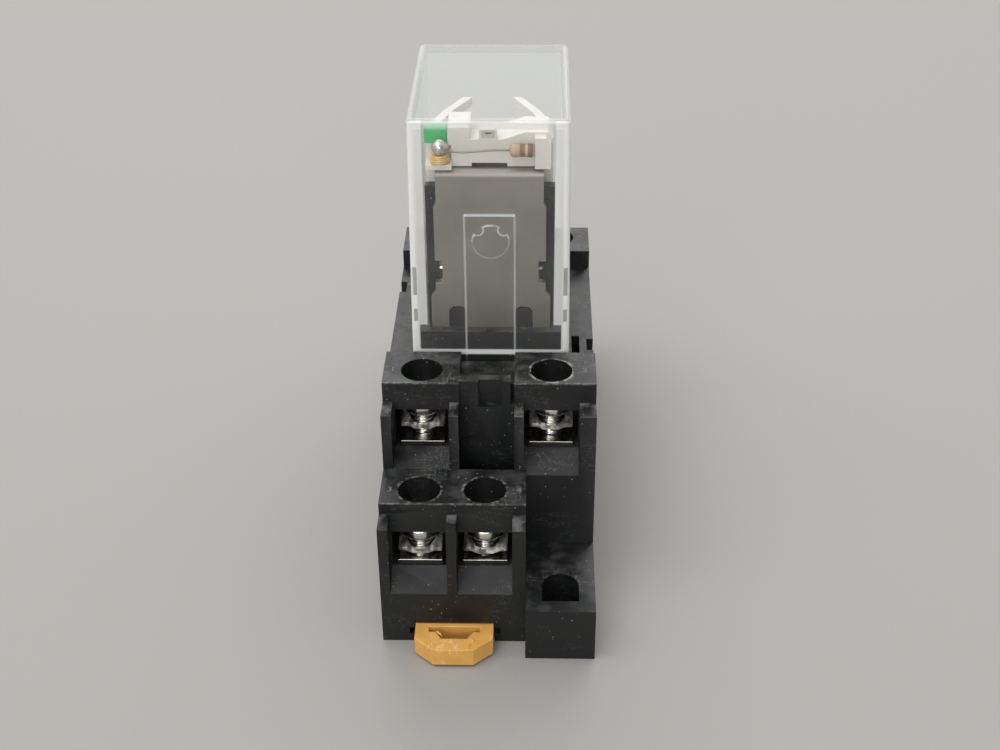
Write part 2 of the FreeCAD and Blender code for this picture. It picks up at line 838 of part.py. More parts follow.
def strip_ways():
    """The narrow ways from the terminals' slots to the receptacle wells and the strip cavity."""
    half = S.plate_width / 2 + S.plate_play
    thick = S.plate_thickness + 2 * S.plate_play
    start = bay_face - S.strip_way_overlap
    cavity = cavity_half_length
    reach = S.strip_way_overlap
    ways = []
    for number, (x, tier, side) in enumerate(TERMINALS, 1):
        near_end = coil_row + reach if tier is UPPER else -cavity
        far_end = closed_row - reach if tier is UPPER else cavity
        height = (tier["floor"], tier["floor"] + thick)
        ways.append(box("near_way_%d" % number, about(x, half), (start, near_end), height))
        ways.append(box("far_way_%d" % number, about(-x, half), (far_end, -start), height))
    return ways


def socket_body():
    """The black housing: a deck under the relay between two like ends, over the rail seat."""
    middle = box("socket_middle", (-half_width, half_width), (bay_face, -bay_face), (0, S.deck_height))
    far = turn_round(socket_end("far_end"))
    solid = fuse("socket_solid", [middle, socket_end("near_end"), far])
    hollow = cut("socket_hollow", solid, deck_cuts() + underside_cuts())
    hook_run = (S.rail_seat_half - S.hook_reach, S.rail_seat_half + S.hook_root)
    hook = box("rail_hook", (-S.hook_half_width, S.hook_half_width), hook_run, (0, S.hook_height))
    whole = fuse("socket_whole", [hollow, hook])
    return finish("socket_body", cut("socket_body", whole, strip_ways()))


def floor_plate():
    """The plate that closes the strip cavity above the rail."""
    body = new_body("floor_plate")
    seat = S.rail_seat_height
    half = cavity_half_width + S.floor_plate_side_ledge
    length = cavity_half_length + S.floor_plate_end_ledge
    points = rectangle((-half, half), (-length, length))
    pad(body, "floor_plate_pad", "XY_Plane", (seat, seat + S.floor_plate_thickness), points)
    return finish("floor_plate", body)


def rail_slider():
    """The sprung slider that grips the rail, with its bevelled pull and driver hole."""
    body = new_body("rail_slider")
    x = S.slider_side_shift
    half = S.slider_width / 2
    front = lug_front - S.slider_reach
    back = -S.rail_seat_half + S.hook_reach
    corner = S.slider_corner
    corner_back = front + S.slider_corner_run
    points = [
        (x - half, back), (x - half, corner_back), (x - half + corner, front),
        (x + half - corner, front), (x + half, corner_back), (x + half, back),
    ]
    low = S.slider_bottom
    high = low + S.slider_thickness
    pad(body, "slider_plate", "XY_Plane", (low, high), points)
    middle = (low + high) / 2
    runner = about(middle, S.slider_runner_height / 2)
    runner_front = lower_front + S.slider_travel + S.slider_runner_front
    runner_back = -S.rail_seat_half - S.slider_runner_back
    runners = rectangle(about(x, half + S.slider_runner), (runner_front, runner_back))
    pad(body, "slider_runners", "XY_Plane", runner, runners)
    hole_back = front + S.slider_hole_back
    ear = hole_back - S.slider_hole_ear
    hole_front = hole_back - S.slider_hole_depth
    wide = S.slider_hole_half
    neck = S.slider_hole_neck
    waist = S.slider_hole_waist
    hole = [
        (x - wide, hole_back), (x - wide, ear), (x - neck, ear), (x - waist, hole_front),
        (x + waist, hole_front), (x + neck, ear), (x + wide, ear), (x + wide, hole_back),
    ]
    pocket(body, "slider_hole", "XY_Plane", (low, high), hole)
    jaw_front = back - S.hook_reach - S.slider_travel - S.slider_jaw_play
    jaw = rectangle((jaw_front, back), (S.hook_height, high))
    pocket(body, "slider_jaw", "YZ_Plane", about(x, half), jaw)
    return finish("rail_slider", body)


def clamp_screw(name, x, tier, turned):
    """A backed-out terminal screw: head with a cross recess over a flared neck, on a plain shank."""
    body = new_body(name)
    seat = tier["floor"] + S.plate_play + S.plate_thickness + tier["lift"] + S.washer_thickness
    neck = seat + S.neck_height
    tip = seat - S.screw_length
    top = seat + S.head_height
    radius = S.screw_radius
    profile = [
        (0, tip), (radius, tip), (radius, neck), (S.head_radius, neck + S.neck_flare),
        (S.head_radius, top), (0, top),
    ]
    feature = body.newObject("PartDesign::Revolution", name + "_turned")
    section = outline(body, name + "_section", "XZ_Plane", profile)
    feature.Profile = section
    feature.ReferenceAxis = (section, ["V_Axis"])
    feature.Angle = 360
    body.Tip = feature
    half = S.recess_width / 2
    arm = S.recess_half_length
    depth = (top - S.recess_depth, top)
    pocket(body, name + "_slot_across", "XY_Plane", depth, rectangle((-arm, arm), (-half, half)))
    pocket(body, name + "_slot_along", "XY_Plane", depth, rectangle((-half, half), (-arm, arm)))
    put(body, x, tier["line"], turned)
    return finish(name, body)


# One wing of a saddle washer from its tip inwards, as shares of the half width and of the rise.
WING = ((1.0, 0.55), (0.75, 0.8), (0.42, 0.55), (0.28, 0.0))


def clamp_washer(name, x, tier, turned):
    """The captive saddle washer under a screw's head, with upswept wings."""
    body = new_body(name)
    low = tier["lift"] + tier["floor"] + S.plate_play + S.plate_thickness
    half = S.washer_width / 2
    rise = S.washer_wing_rise
    thick = S.washer_thickness
    right = [(half * out, rise * up) for out, up in WING]
    left = [(-half * out, rise * up) for out, up in reversed(WING)]
    bottom = right + left
    points = [(u, low + v) for u, v in bottom]
    points += [(u, low + v + thick) for u, v in reversed(bottom)]
    pad(body, name + "_wings", "XZ_Plane", about(size_of(0), S.washer_depth / 2), points)
    hole = S.screw_radius + S.washer_hole_gap
    pocket(body, name + "_hole", "XY_Plane", (low, low + rise + thick), circles=[(0, 0, hole)])
    put(body, x, tier["line"], turned)
    return finish(name, body)


def put(body, x, y, turned):
    """Moves a body built about its own upright axis to its terminal, at the near or far end."""
    if turned:
        body.Placement.Rotation = FreeCAD.Rotation(FreeCAD.Vector(0, 0, 1), 180)
        place(body, -x, -y, 0)
    else:
        place(body, x, y, 0)


def terminal_plate(name, x, tier, row, column, turned):
    """A tapped clamp plate with its strip to the foot of a blade receptacle."""
    body = new_body(name)
    sign = -1 if turned else 1
    row = sign * row
    column = sign * column
    low = tier["floor"] + S.plate_play
    high = low + S.plate_thickness
    half = S.plate_width / 2
    front = tier["face"] + S.plate_setback
    foot_half = S.blade_width / 2
    clip = S.blade_thickness / 2 + S.clip_wall + S.clip_bow
    foot_back = row + clip
    turn = row - clip
    strip = S.strip_width / 2
    pocket_back = tier["back"]
    shoulder = pocket_back + S.strip_shoulder
    run = [
        (x - half, front), (x + half, front), (x + half, pocket_back), (x + strip, shoulder),
        (x + strip, foot_back), (x - strip, foot_back), (x - strip, shoulder), (x - half, pocket_back),
    ]
    pad(body, name + "_strip", "XY_Plane", (low, high), run)
    across = (x, column + foot_half) if column.value > x.value else (column - foot_half, x)
    foot = rectangle(across, (turn, foot_back))
    foot_low = upper_floor + S.plate_play
    if tier is LOWER:
        pad(body, name + "_cross", "XY_Plane", (low, high), foot)
        riser = rectangle(about(column, foot_half), (turn, turn + S.plate_thickness))
        pad(body, name + "_riser", "XY_Plane", (low, foot_low + S.plate_thickness), riser)
        pad(body, name + "_foot", "XY_Plane", (foot_low, foot_low + S.plate_thickness),
            rectangle(about(column, foot_half), (turn, foot_back)))
    else:
        pad(body, name + "_foot", "XY_Plane", (low, high), foot)
    pocket(body, name + "_thread", "XY_Plane", (low, high),
           circles=[(x, tier["line"], S.screw_radius + S.thread_hole_gap)])
    if turned:
        turn_round(body)
    return finish(name, body)


def blade_clip(name, x, row):
    """The folded spring receptacle that grips one blade of the relay."""
    body = new_body(name)
    low = upper_floor + S.plate_play + S.plate_thickness
    high = low + S.clip_height
    grip = S.blade_thickness / 2 + S.clip_gap
    wall = S.clip_wall
    bow = S.clip_bow
    half = S.clip_width / 2
    waist = high - S.clip_waist
    knee = low + S.clip_foot
    points = [
        (row - bow - wall, low), (row + bow + wall, low), (row + bow + wall, knee),
        (row + grip + wall, waist), (row + bow + wall, high), (row + bow, high),
        (row + grip, waist), (row + bow, knee), (row + bow, low + wall),
        (row - bow, low + wall), (row - bow, knee), (row - grip, waist),
        (row - bow, high), (row - bow - wall, high), (row - grip - wall, waist), (row - bow - wall, knee),
    ]
    pad(body, name + "_fold", "YZ_Plane", about(x, half), points)
    return finish(name, body)


def relay_cover():
    """The clear dust cover, drafted towards the top, with a raised panel and gate mark in front."""
    body = new_body("relay_cover")
    half_x = half_case
    half_y = half_length
    block = pad(body, "cover_block", "XY_Plane", (seat_height, cover_top),
                rectangle((-half_x, half_x), (-half_y, half_y)))
    doc.recompute()
    draft = body.newObject("PartDesign::Draft", "cover_draft")
    draft.Base = (block, face_names(block.Shape, lambda way: abs(way.z) < 0.5))
    draft.NeutralPlane = (block, face_names(block.Shape, lambda way: way.z < -0.5))
    bind(draft, "Angle", S.cover_taper)
    body.Tip = draft
    high = cover_top.value
    dress(body, "Fillet", "cover_corners", S.cover_corner, lambda centre, way: abs(way.z) > 0.9)
    dress(body, "Chamfer", "cover_rim", S.cover_rim, lambda centre, way: centre.z > high - 1e-3)
    wall = S.cover_wall
    hollow = body.newObject("PartDesign::Pocket", "cover_hollow")
    mouth = rectangle((-half_x + wall, half_x - wall), (-half_y + wall, half_y - wall))
    hollow.Profile = outline(body, "cover_hollow_outline", "XY_Plane", mouth, offset=seat_height)
    hollow.Reversed = True
    bind(hollow, "Length", cover_top - seat_height - wall)
    bind(hollow, "TaperAngle", -S.cover_taper)
    body.Tip = hollow
    doc.recompute()
    front = -half_y + S.panel_setback
    low = seat_height + S.panel_bottom
    panel = rectangle((-S.panel_half_width, S.panel_half_width), (low, low + S.panel_height))
    pad(body, "front_panel", "XZ_Plane", (front, -half_y + wall / 2), panel)
    gate = [(0, seat_height + S.gate_height, S.gate_radius)]
    pad(body, "gate_mark", "XZ_Plane", (front - S.gate_rise, front), circles=gate)
    return finish("relay_cover", body)


def relay_base():
    """The moulded base in the cover's mouth, with blade slots, guides and studs that hold the yoke."""
    body = new_body("relay_base")
    play = S.cover_wall + S.base_play
    half_x = half_case - play
    half_y = half_length - play
    top = base_top
    pad(body, "base_block", "XY_Plane", (seat_height, top), rectangle((-half_x, half_x), (-half_y, half_y)))
    for side, tag in ((-1, "left"), (1, "right")):
        inner = S.guide_half_gap
        outer = inner + S.guide_width
        x = (side * outer, side * inner) if side < 0 else (inner, outer)
        run = rectangle(x, (guide_front, guide_back))
        pad(body, "guide_" + tag, "XY_Plane", (top, yoke_top - S.guide_drop), run)
    slots = []
    for row in ROWS:
        for side in (-1, 1):
            across = about(side * S.blade_column, S.blade_width / 2)
            slots.append(rectangle(across, about(row, S.blade_thickness / 2)))
    pocket(body, "blade_slots", "XY_Plane", (seat_height, top), slots)
    leg = rectangle((-S.yoke_leg_half_width, S.yoke_leg_half_width), (yoke_front, yoke_back))
    pocket(body, "yoke_seat", "XY_Plane", (top - S.yoke_seat_depth, top), leg)
    inner = S.yoke_arch_inner + S.stud_gap
    outer = S.yoke_arch_outer - S.stud_gap
    corner = S.stud_corner
    high = top + S.stud_height
    stud = [
        (inner, top - S.yoke_seat_depth), (outer, top - S.yoke_seat_depth), (outer, high - corner),
        (outer - corner, high), (inner + corner, high), (inner, high - corner),
    ]
    studs = [stud, [(-u, v) for u, v in reversed(stud)]]
    pad(body, "yoke_studs", "XZ_Plane", (yoke_front, yoke_back), studs)
    notch = [(-S.base_notch_half, top), (S.base_notch_half, top), (0, top - S.base_notch_drop)]
    pocket(body, "front_notch", "XZ_Plane", (-half_y, -half_y + S.base_notch_depth), notch)
    return finish("relay_base", body)


def yoke():
    """The iron yoke: a pierced front leg, a rounded top flange and a foot under the coil."""
    body = new_body("yoke")
    low = base_top - S.yoke_seat_depth
    inner = S.yoke_arch_inner
    outer = S.yoke_arch_outer
    corner = S.yoke_arch_corner
    arch = low + S.yoke_arch_rise
    half = S.yoke_half_width
    leg = S.yoke_leg_half_width
    notch = half - S.yoke_notch_depth
    neck = half - S.yoke_neck_step
    top = yoke_top
    shoulder = base_top + S.yoke_shoulder
    notch_low = base_top + S.yoke_notch_low
    notch_high = base_top + S.yoke_notch_high
    neck_low = top - S.yoke_neck_drop
    right = [
        (inner, low), (inner, arch), (inner + corner, arch + corner), (outer - corner, arch + corner),
        (outer, arch), (outer, low), (leg, low), (leg, shoulder), (half, shoulder + S.yoke_shoulder_rise),
        (half, notch_low), (notch, notch_low), (notch, notch_high), (half, notch_high),
        (half, neck_low), (neck, neck_low + S.yoke_neck_rise), (neck, top),
    ]
    left = [(-u, v) for u, v in reversed(right)]
    pad(body, "front_leg", "XZ_Plane", (yoke_front, yoke_back), right + left)
    flange = rectangle((-neck, neck), (yoke_front, yoke_front + S.yoke_flange))
    pad(body, "top_flange", "XY_Plane", (top - S.yoke_thickness, top), flange)
    foot_back = coil_centre + S.core_radius + S.foot_margin
    foot = rectangle((-S.foot_half_width, S.foot_half_width), (yoke_back, foot_back))
    pad(body, "foot", "XY_Plane", (foot_low, bobbin_low), foot)
    rivet = [(0, coil_centre, S.core_radius)]
    pocket(body, "core_hole", "XY_Plane", (foot_low, bobbin_low), circles=rivet)
    front = yoke_front.value
    high = top.value

    def bend(centre, way):
        return abs(way.x) > 0.9 and abs(centre.y - front) < 1e-3 and abs(centre.z - high) < 1e-3

    dress(body, "Fillet", "top_bend", S.yoke_bend_radius, bend)
    return finish("yoke", body)


def core():
    """The iron core, riveted in the yoke's foot, with a wider pole face on top."""
    body = new_body("core")
    profile = [
        (0, foot_low), (S.core_radius, foot_low), (S.core_radius, bobbin_high),
        (S.pole_radius, bobbin_high), (S.pole_radius, pole_top), (0, pole_top),
    ]
    feature = body.newObject("PartDesign::Revolution", "core_turned")
    section = outline(body, "core_section", "XZ_Plane", profile)
    feature.Profile = section
    feature.ReferenceAxis = (section, ["V_Axis"])
    feature.Angle = 360
    body.Tip = feature
    place(body, 0, coil_centre, 0)
    return finish("core", body)


def bobbin():
    """The white coil former, whose cheeks rise past the armature to the bridge and its two arms."""
    body = new_body("bobbin")
    low, high = bobbin_low, bobbin_high
    centre = coil_centre
    half = S.bobbin_half_width
    square = rectangle((-half, half), about(centre, half))
    pad(body, "lower_flange", "XY_Plane", (low, low + S.bobbin_flange), square)
    pad(body, "tube", "XY_Plane", (low, high), circles=[(0, centre, S.core_radius + S.bobbin_wall)])
    pad(body, "upper_flange", "XY_Plane", (high - S.bobbin_flange, high), square)
    cheek = S.armature_half_width + S.armature_play + S.cheek_play
    wide = S.bridge_half_width
    ear = half - S.ear_overlap
    run = (ear_front, bridge_back)
    ear_height = (high - S.bobbin_flange, high)
    cheek_height = (high - S.bobbin_flange, bridge_bottom)
    for side, tag in ((-1, "left"), (1, "right")):
        x = (-wide, -ear) if side < 0 else (ear, wide)
        pad(body, "ear_" + tag, "XY_Plane", ear_height, rectangle(x, run))
        x = (-wide, -cheek) if side < 0 else (cheek, wide)
        pad(body, "cheek_" + tag, "XY_Plane", cheek_height, rectangle(x, run))
    pad(body, "bridge", "XZ_Plane", (bridge_front, bridge_back), bridge_profile())
    pocket(body, "post_notch", "XY_Plane", (bridge_bottom, shelf_top), post_notch())
    pad(body, "wire_hood", "XZ_Plane", (bridge_front - S.hood_depth, bridge_front), hood_profile())
    catch = rectangle(about(S.catch_centre, S.catch_half), (bridge_front, bridge_front + S.catch_depth))
    saddle = bridge_bottom + S.saddle_height
    pad(body, "catch", "XY_Plane", (saddle, saddle + S.catch_height), catch)
    arms = [arm_outline(side) for side in (-1, 1)]
    pad(body, "arms", "XY_Plane", (shelf_top - S.arm_thickness, shelf_top), arms)
    pocket(body, "bore", "XY_Plane", (low, high), circles=[(0, centre, S.core_radius + S.core_play)])
    return finish("bobbin", body)


def bridge_profile():
    """The bridge in front view: lamp shelf, block, saddle and sloped shoulder over a notched underside."""
    low = bridge_bottom
    wide = S.bridge_half_width
    notch = S.bridge_notch_half
    notch_top = low + S.bridge_notch_rise
    saddle = low + S.saddle_height
    shoulder = low + S.shoulder_height
    corner = S.shoulder_corner
    return [
        (-wide, low), (-notch, low), (-notch, notch_top), (notch, notch_top), (notch, low), (wide, low),
        (wide, shoulder - corner), (wide - corner, shoulder), (S.shoulder_end, shoulder),
        (S.shoulder_start, saddle), (-S.block_inner, saddle), (-S.block_inner, block_top),
        (-S.block_outer, block_top), (-S.block_outer, shelf_top), (-wide, shelf_top),
    ]


def post_notch():
    """The corner cut from the bridge, in plan, that clears the wrapped coil post."""
    inner = S.wrap_radius + S.post_gap - S.post_column
    back = post_line + S.wrap_radius + S.post_gap
    return rectangle((-S.bridge_half_width, inner), (bridge_front, back))


def hood_profile():
    """The hood that takes the resistor's far end, in front view."""
    left = S.resistor_start + S.resistor_length + S.resistor_gap
    right = left + S.hood_width
    low = bridge_bottom + S.hood_bottom
    high = bridge_bottom + S.hood_top
    corner = S.hood_corner
    return [(left, low), (right, low), (right, high - corner), (right - corner, high), (left, high)]


def arm_outline(side):
    """One bent arm that runs back from the bridge over the coil, in plan."""
    wide = S.bridge_half_width
    start = bridge_back
    stations = (
        (wide, start), (wide, start + S.arm_straight),
        (wide - S.arm_bend_inset, start + S.arm_bend_run), (wide - S.arm_inset, start + S.arm_reach),
    )
    outer = [(side * x, y) for x, y in stations]
    inner = [(side * (x - S.arm_width), y) for x, y in reversed(stations)]
    return outer + inner


def coil():
    """The wound coil between the former's flanges."""
    height = (bobbin_low + S.bobbin_flange, bobbin_high - S.bobbin_flange)
    outer = post("coil_outside", 0, coil_centre, height, S.coil_radius)
    inner = post("coil_inside", 0, coil_centre, height, S.core_radius + S.bobbin_wall)
    return finish("coil_winding", cut("coil_winding", outer, [inner]))


def swing_open(body):
    """Turns a body about the armature's edge from the closed pose to its rest."""
    pivot = FreeCAD.Vector(0, hinge_y.value, hinge_z.value)
    rotation = FreeCAD.Rotation(FreeCAD.Vector(1, 0, 0), swing)
    body.Placement = FreeCAD.Placement(FreeCAD.Vector(0, 0, 0), rotation, pivot)
    return body


def armature():
    """The bent iron armature over the pole, with a leg behind the coil."""
    body = new_body("armature")
    low = hinge_z
    high = armature_top
    half = S.armature_half_width
    bottom = leg_bottom
    bend = S.armature_bend
    side = [
        (hinge_y, low), (leg_front, low), (leg_front, bottom), (leg_back, bottom),
        (leg_back, high - bend), (leg_back - bend, high), (hinge_y, high),
    ]
    pad(body, "armature_bend", "YZ_Plane", (-half, half), side)
    return finish("armature", swing_open(body))


def contact_carrier():
    """The white moulding on the armature's leg that holds both moving leaves."""
    body = new_body("contact_carrier")
    low = leg_bottom
    high = low + S.carrier_height
    wide = S.carrier_half_width
    pad(body, "carrier_bar", "XY_Plane", (low, high), rectangle((-wide, wide), (leg_back, leaf_front)))
    fence = rectangle((-S.fence_half_width, S.fence_half_width), (leaf_front, leaf_front + S.fence_depth))
    pad(body, "carrier_fence", "XY_Plane", (low, high), fence)
    return finish("contact_carrier", swing_open(body))


def moving_contact(name, side):
    """A moving leaf with a double-headed silver button."""
    body = new_body(name)
    x = side * S.blade_column
    half = S.leaf_width / 2
    low = contact_height - S.contact_radius - S.leaf_tip
    high = leg_bottom + S.carrier_height - S.leaf_root
    pad(body, name + "_leaf", "XZ_Plane", (leaf_front, leaf_back), rectangle(about(x, half), (low, high)))
    pad(body, name + "_button", "XZ_Plane", (leaf_front - S.button_height, leaf_back + S.button_height),
        circles=[(x, contact_height, S.contact_radius)])
    return finish(name, swing_open(body))


def blade_profile(x):
    """A blade in front view, with a tapered tip, up to the relay's base."""
    half = S.blade_width / 2
    tip = seat_height - S.blade_length
    top = base_top
    point = S.blade_tip
    return [
        (x - half, top), (x - half, tip + point), (x - half + point, tip), (x + half - point, tip),
        (x + half, tip + point), (x + half, top),
    ]


def fixed_contact(name, side, row, face, way):
    """A fixed contact and its blade, stamped from one strip."""
    body = new_body(name)
    x = side * S.blade_column
    half = S.blade_thickness / 2
    pad(body, name + "_blade", "XZ_Plane", about(row, half), blade_profile(x))
    pad(body, name + "_arm", "XZ_Plane", about(row, half),
        rectangle(about(x, S.leaf_width / 2), (base_top, contact_height + S.arm_rise)))
    start = (row, face) if way > 0 else (face, row)
    pad(body, name + "_button", "XZ_Plane", start, circles=[(x, contact_height, S.contact_radius)])
    return finish(name, body)


def side_blade(name, side, row, tab_height):
    """A blade whose solder tab stands beside the coil."""
    body = new_body(name)
    x = side * S.blade_column
    half = S.blade_thickness / 2
    top = base_top
    pad(body, name + "_blade", "XZ_Plane", about(row, half), blade_profile(x))
    root = top + S.tab_root
    inner = S.blade_column + S.tab_inner
    edge = S.blade_column + S.blade_width / 2
    outer = edge + S.tab_reach
    tab = (-outer, -inner) if side < 0 else (inner, outer)
    pad(body, name + "_tab", "XZ_Plane", about(row, half), rectangle(tab, (root, top + tab_height)))
    neck = (-edge, -inner) if side < 0 else (inner, edge)
    pad(body, name + "_neck", "XZ_Plane", about(row, half), rectangle(neck, (top, root)))
    return finish(name, body)


def braid(name, side):
    """The bare copper braid from a common tab, round the open contact, to its moving leaf."""
    half = S.braid_width / 2
    thick = S.braid_thickness
    outer = S.blade_column + S.blade_width / 2 + S.tab_reach
    x = side * (outer - half)
    start = common_row + S.blade_thickness / 2 + S.braid_gap
    top = contact_height - S.contact_radius - S.braid_end_drop
    back = leaf_front + (hinge_z - top) * swing_sine - S.braid_end_gap
    low = base_top + S.braid_foot_rise
    run = box(name + "_run", about(x, half), (start, back), (low, low + thick))
    rise = box(name + "_rise", about(x, half), (back - thick, back), (low, top))
    inner = S.blade_column + S.braid_end_inner
    reach = (-outer, -inner) if side < 0 else (inner, outer)
    end = box(name + "_end", reach, (back - thick, back), (top - thick, top))
    return finish(name, fuse(name, [run, rise, end]))


def indicator():
    """The green lamp on the bridge's shelf, and the resistor from the soldered post to the hood."""
    lamp = new_body("indicator_lamp")
    left = -S.bridge_half_width - S.lamp_overhang
    front = bridge_front + S.lamp_inset
    footprint = rectangle((left, left + S.lamp_width), (front, front + S.lamp_depth))
    pad(lamp, "lamp_body", "XY_Plane", (shelf_top, shelf_top + S.lamp_height), footprint)
    finish("indicator_lamp", lamp)
    axis_y = bridge_front - S.resistor_radius - S.resistor_gap
    axis_z = bridge_bottom + S.resistor_height
    resistor = new_body("resistor")
    start = S.resistor_start
    body_ring = [(axis_y, axis_z, S.resistor_radius)]
    pad(resistor, "resistor_body", "YZ_Plane", (start, start + S.resistor_length), circles=body_ring)
    lead_end = S.solder_radius + S.lead_gap - S.post_column
    lead_ring = [(axis_y, axis_z, S.lead_radius)]
    pad(resistor, "resistor_lead", "YZ_Plane", (lead_end, start), circles=lead_ring)
    finish("resistor", resistor)


def coil_post():
    """The upright post under the lamp, wrapped with the coil's wire below a ball of solder."""
    body = new_body("coil_post")
    low = bridge_bottom + S.wrap_rise
    neck = low + S.wrap_height
    ball = S.solder_radius
    top = neck + S.solder_height
    profile = [
        (0, low), (S.wrap_radius, low), (S.wrap_radius, neck), (ball, neck + S.solder_waist),
        (ball - S.solder_round, top - S.solder_crown), (0, top),
    ]
    section = outline(body, "post_section", "XZ_Plane", profile)
    feature = body.newObject("PartDesign::Revolution", "post_turned")
    feature.Profile = section
    feature.ReferenceAxis = (section, ["V_Axis"])
    feature.Angle = 360
    body.Tip = feature
    place(body, -S.post_column, post_line, 0)
    return finish("coil_post", body)


socket_body()
floor_plate()
rail_slider()
number = 0
for turned in (False, True):
    upper_row = closed_row if turned else coil_row
    lower_row = open_row if turned else common_row
    for x, tier, side in TERMINALS:
        number += 1
        row = upper_row if tier is UPPER else lower_row
        column = (-side if turned else side) * S.blade_column
        terminal_plate("terminal_plate_%d" % number, x, tier, row, column, turned)
        clamp_screw("terminal_screw_%d" % number, x, tier, turned)
        clamp_washer("clamp_washer_%d" % number, x, tier, turned)
        blade_clip("blade_clip_%d" % number, column, row)
relay_cover()
relay_base()
yoke()
core()
bobbin()
coil()
armature()
contact_carrier()
for side, tag in ((-1, "left"), (1, "right")):
    moving_contact("moving_contact_" + tag, side)
    fixed_contact("open_contact_" + tag, side, open_row, open_face, 1)
    fixed_contact("closed_contact_" + tag, side, closed_row, closed_face, -1)
    side_blade("common_blade_" + tag, side, common_row, S.common_tab_height)
    side_blade("coil_blade_" + tag, side, coil_row, S.coil_tab_height)
    braid("braid_" + tag, side)
indicator()
coil_post()

doc.recompute()
for thing in doc.Objects:
    if "Invalid" in thing.State or "Error" in thing.State:
        raise ValueError("%s is %s" % (thing.Label, thing.State))
os.makedirs("parts", exist_ok=True)
for name, thing in parts.items():
    shape = thing.Shape
    if shape.isNull() or not shape.isValid():
        raise ValueError("%s has no valid shape" % name)
    if len(shape.Solids) != 1:
        raise ValueError("%s has %d solids" % (name, len(shape.Solids)))
    shape.exportStep("parts/%s.step" % name)
print(len(parts), "sub-parts")
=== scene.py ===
import json
import math

import bmesh
import bpy
from mathutils import Matrix, Vector, noise


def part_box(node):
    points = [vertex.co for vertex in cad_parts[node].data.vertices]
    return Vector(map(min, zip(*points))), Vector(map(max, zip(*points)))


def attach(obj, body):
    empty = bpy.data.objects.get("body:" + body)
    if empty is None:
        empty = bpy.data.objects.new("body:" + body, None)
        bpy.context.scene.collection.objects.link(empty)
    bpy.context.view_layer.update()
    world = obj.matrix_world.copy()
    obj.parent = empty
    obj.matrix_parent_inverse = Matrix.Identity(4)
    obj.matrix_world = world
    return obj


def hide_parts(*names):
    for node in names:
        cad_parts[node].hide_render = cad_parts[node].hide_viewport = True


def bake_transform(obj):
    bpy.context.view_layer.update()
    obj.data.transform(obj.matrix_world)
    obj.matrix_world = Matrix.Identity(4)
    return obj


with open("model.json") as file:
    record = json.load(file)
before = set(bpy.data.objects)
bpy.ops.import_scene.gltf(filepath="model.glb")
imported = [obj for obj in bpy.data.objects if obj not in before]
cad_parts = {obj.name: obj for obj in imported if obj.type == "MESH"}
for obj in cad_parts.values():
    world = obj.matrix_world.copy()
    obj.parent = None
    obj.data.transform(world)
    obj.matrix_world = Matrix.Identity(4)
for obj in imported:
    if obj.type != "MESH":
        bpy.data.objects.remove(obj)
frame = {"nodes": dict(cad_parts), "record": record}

bl_info = {
    "name": "Power relay with socket",
    "version": (1, 0, 0),
    "blender": (4, 5, 0),
    "location": "View3D > Sidebar > Relay",
    "description": "Finishes and fine detail for a clear-cased plug-in relay standing in its rail socket",
    "category": "Object",
}

MM = 0.001
FULL_TURN = 2 * math.pi
RECORD = frame["record"]
BODY_OF = {node: body for body, nodes in RECORD["behaviour"]["bodies"].items() for node in nodes}
SLOT_OF = {part["node"]: part["material_slot"] for part in RECORD["subparts"]}
TERMINALS = range(1, 9)
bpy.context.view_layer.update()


# Finishes


def joins(operation, swapped=False):
    """An operator or method of a shader value that adds a Math node."""

    def joined(first, *second):
        inputs = (*second, first) if swapped else (first, *second)
        return first.nodes.node("Math", {"operation": operation}, dict(enumerate(inputs)))

    return joined


class Value:
    """A shader value on which Python's arithmetic adds Math nodes."""

    def __init__(self, nodes, socket):
        self.nodes = nodes
        self.socket = socket

    __add__ = joins("ADD")
    __radd__ = joins("ADD", swapped=True)
    __sub__ = joins("SUBTRACT")
    __rsub__ = joins("SUBTRACT", swapped=True)
    __mul__ = joins("MULTIPLY")
    __rmul__ = joins("MULTIPLY", swapped=True)
    __pow__ = joins("POWER")
    __abs__ = joins("ABSOLUTE")
    least = joins("MINIMUM")
    most = joins("MAXIMUM")


class Nodes:
    """A node tree, with the one method that adds nodes to it."""

    def __init__(self, owner):
        owner.use_nodes = True
        self.tree = owner.node_tree

    def feed(self, socket, value):
        if isinstance(value, Value):
            self.tree.links.new(value.socket, socket)
        elif socket.type == "RGBA" and len(value) == 3:
            socket.default_value = (*value, 1.0)
        else:
            socket.default_value = value

    def node(self, kind, settings=None, inputs=None, output=0):
        """Adds a node, its settings first and then its sockets' values or links."""
        node = self.tree.nodes.new("ShaderNode" + kind)
        for name, value in (settings or {}).items():
            setattr(node, name, value)
        for name, value in (inputs or {}).items():
            self.feed(node.inputs[name], value)
        return Value(self, node.outputs[output])


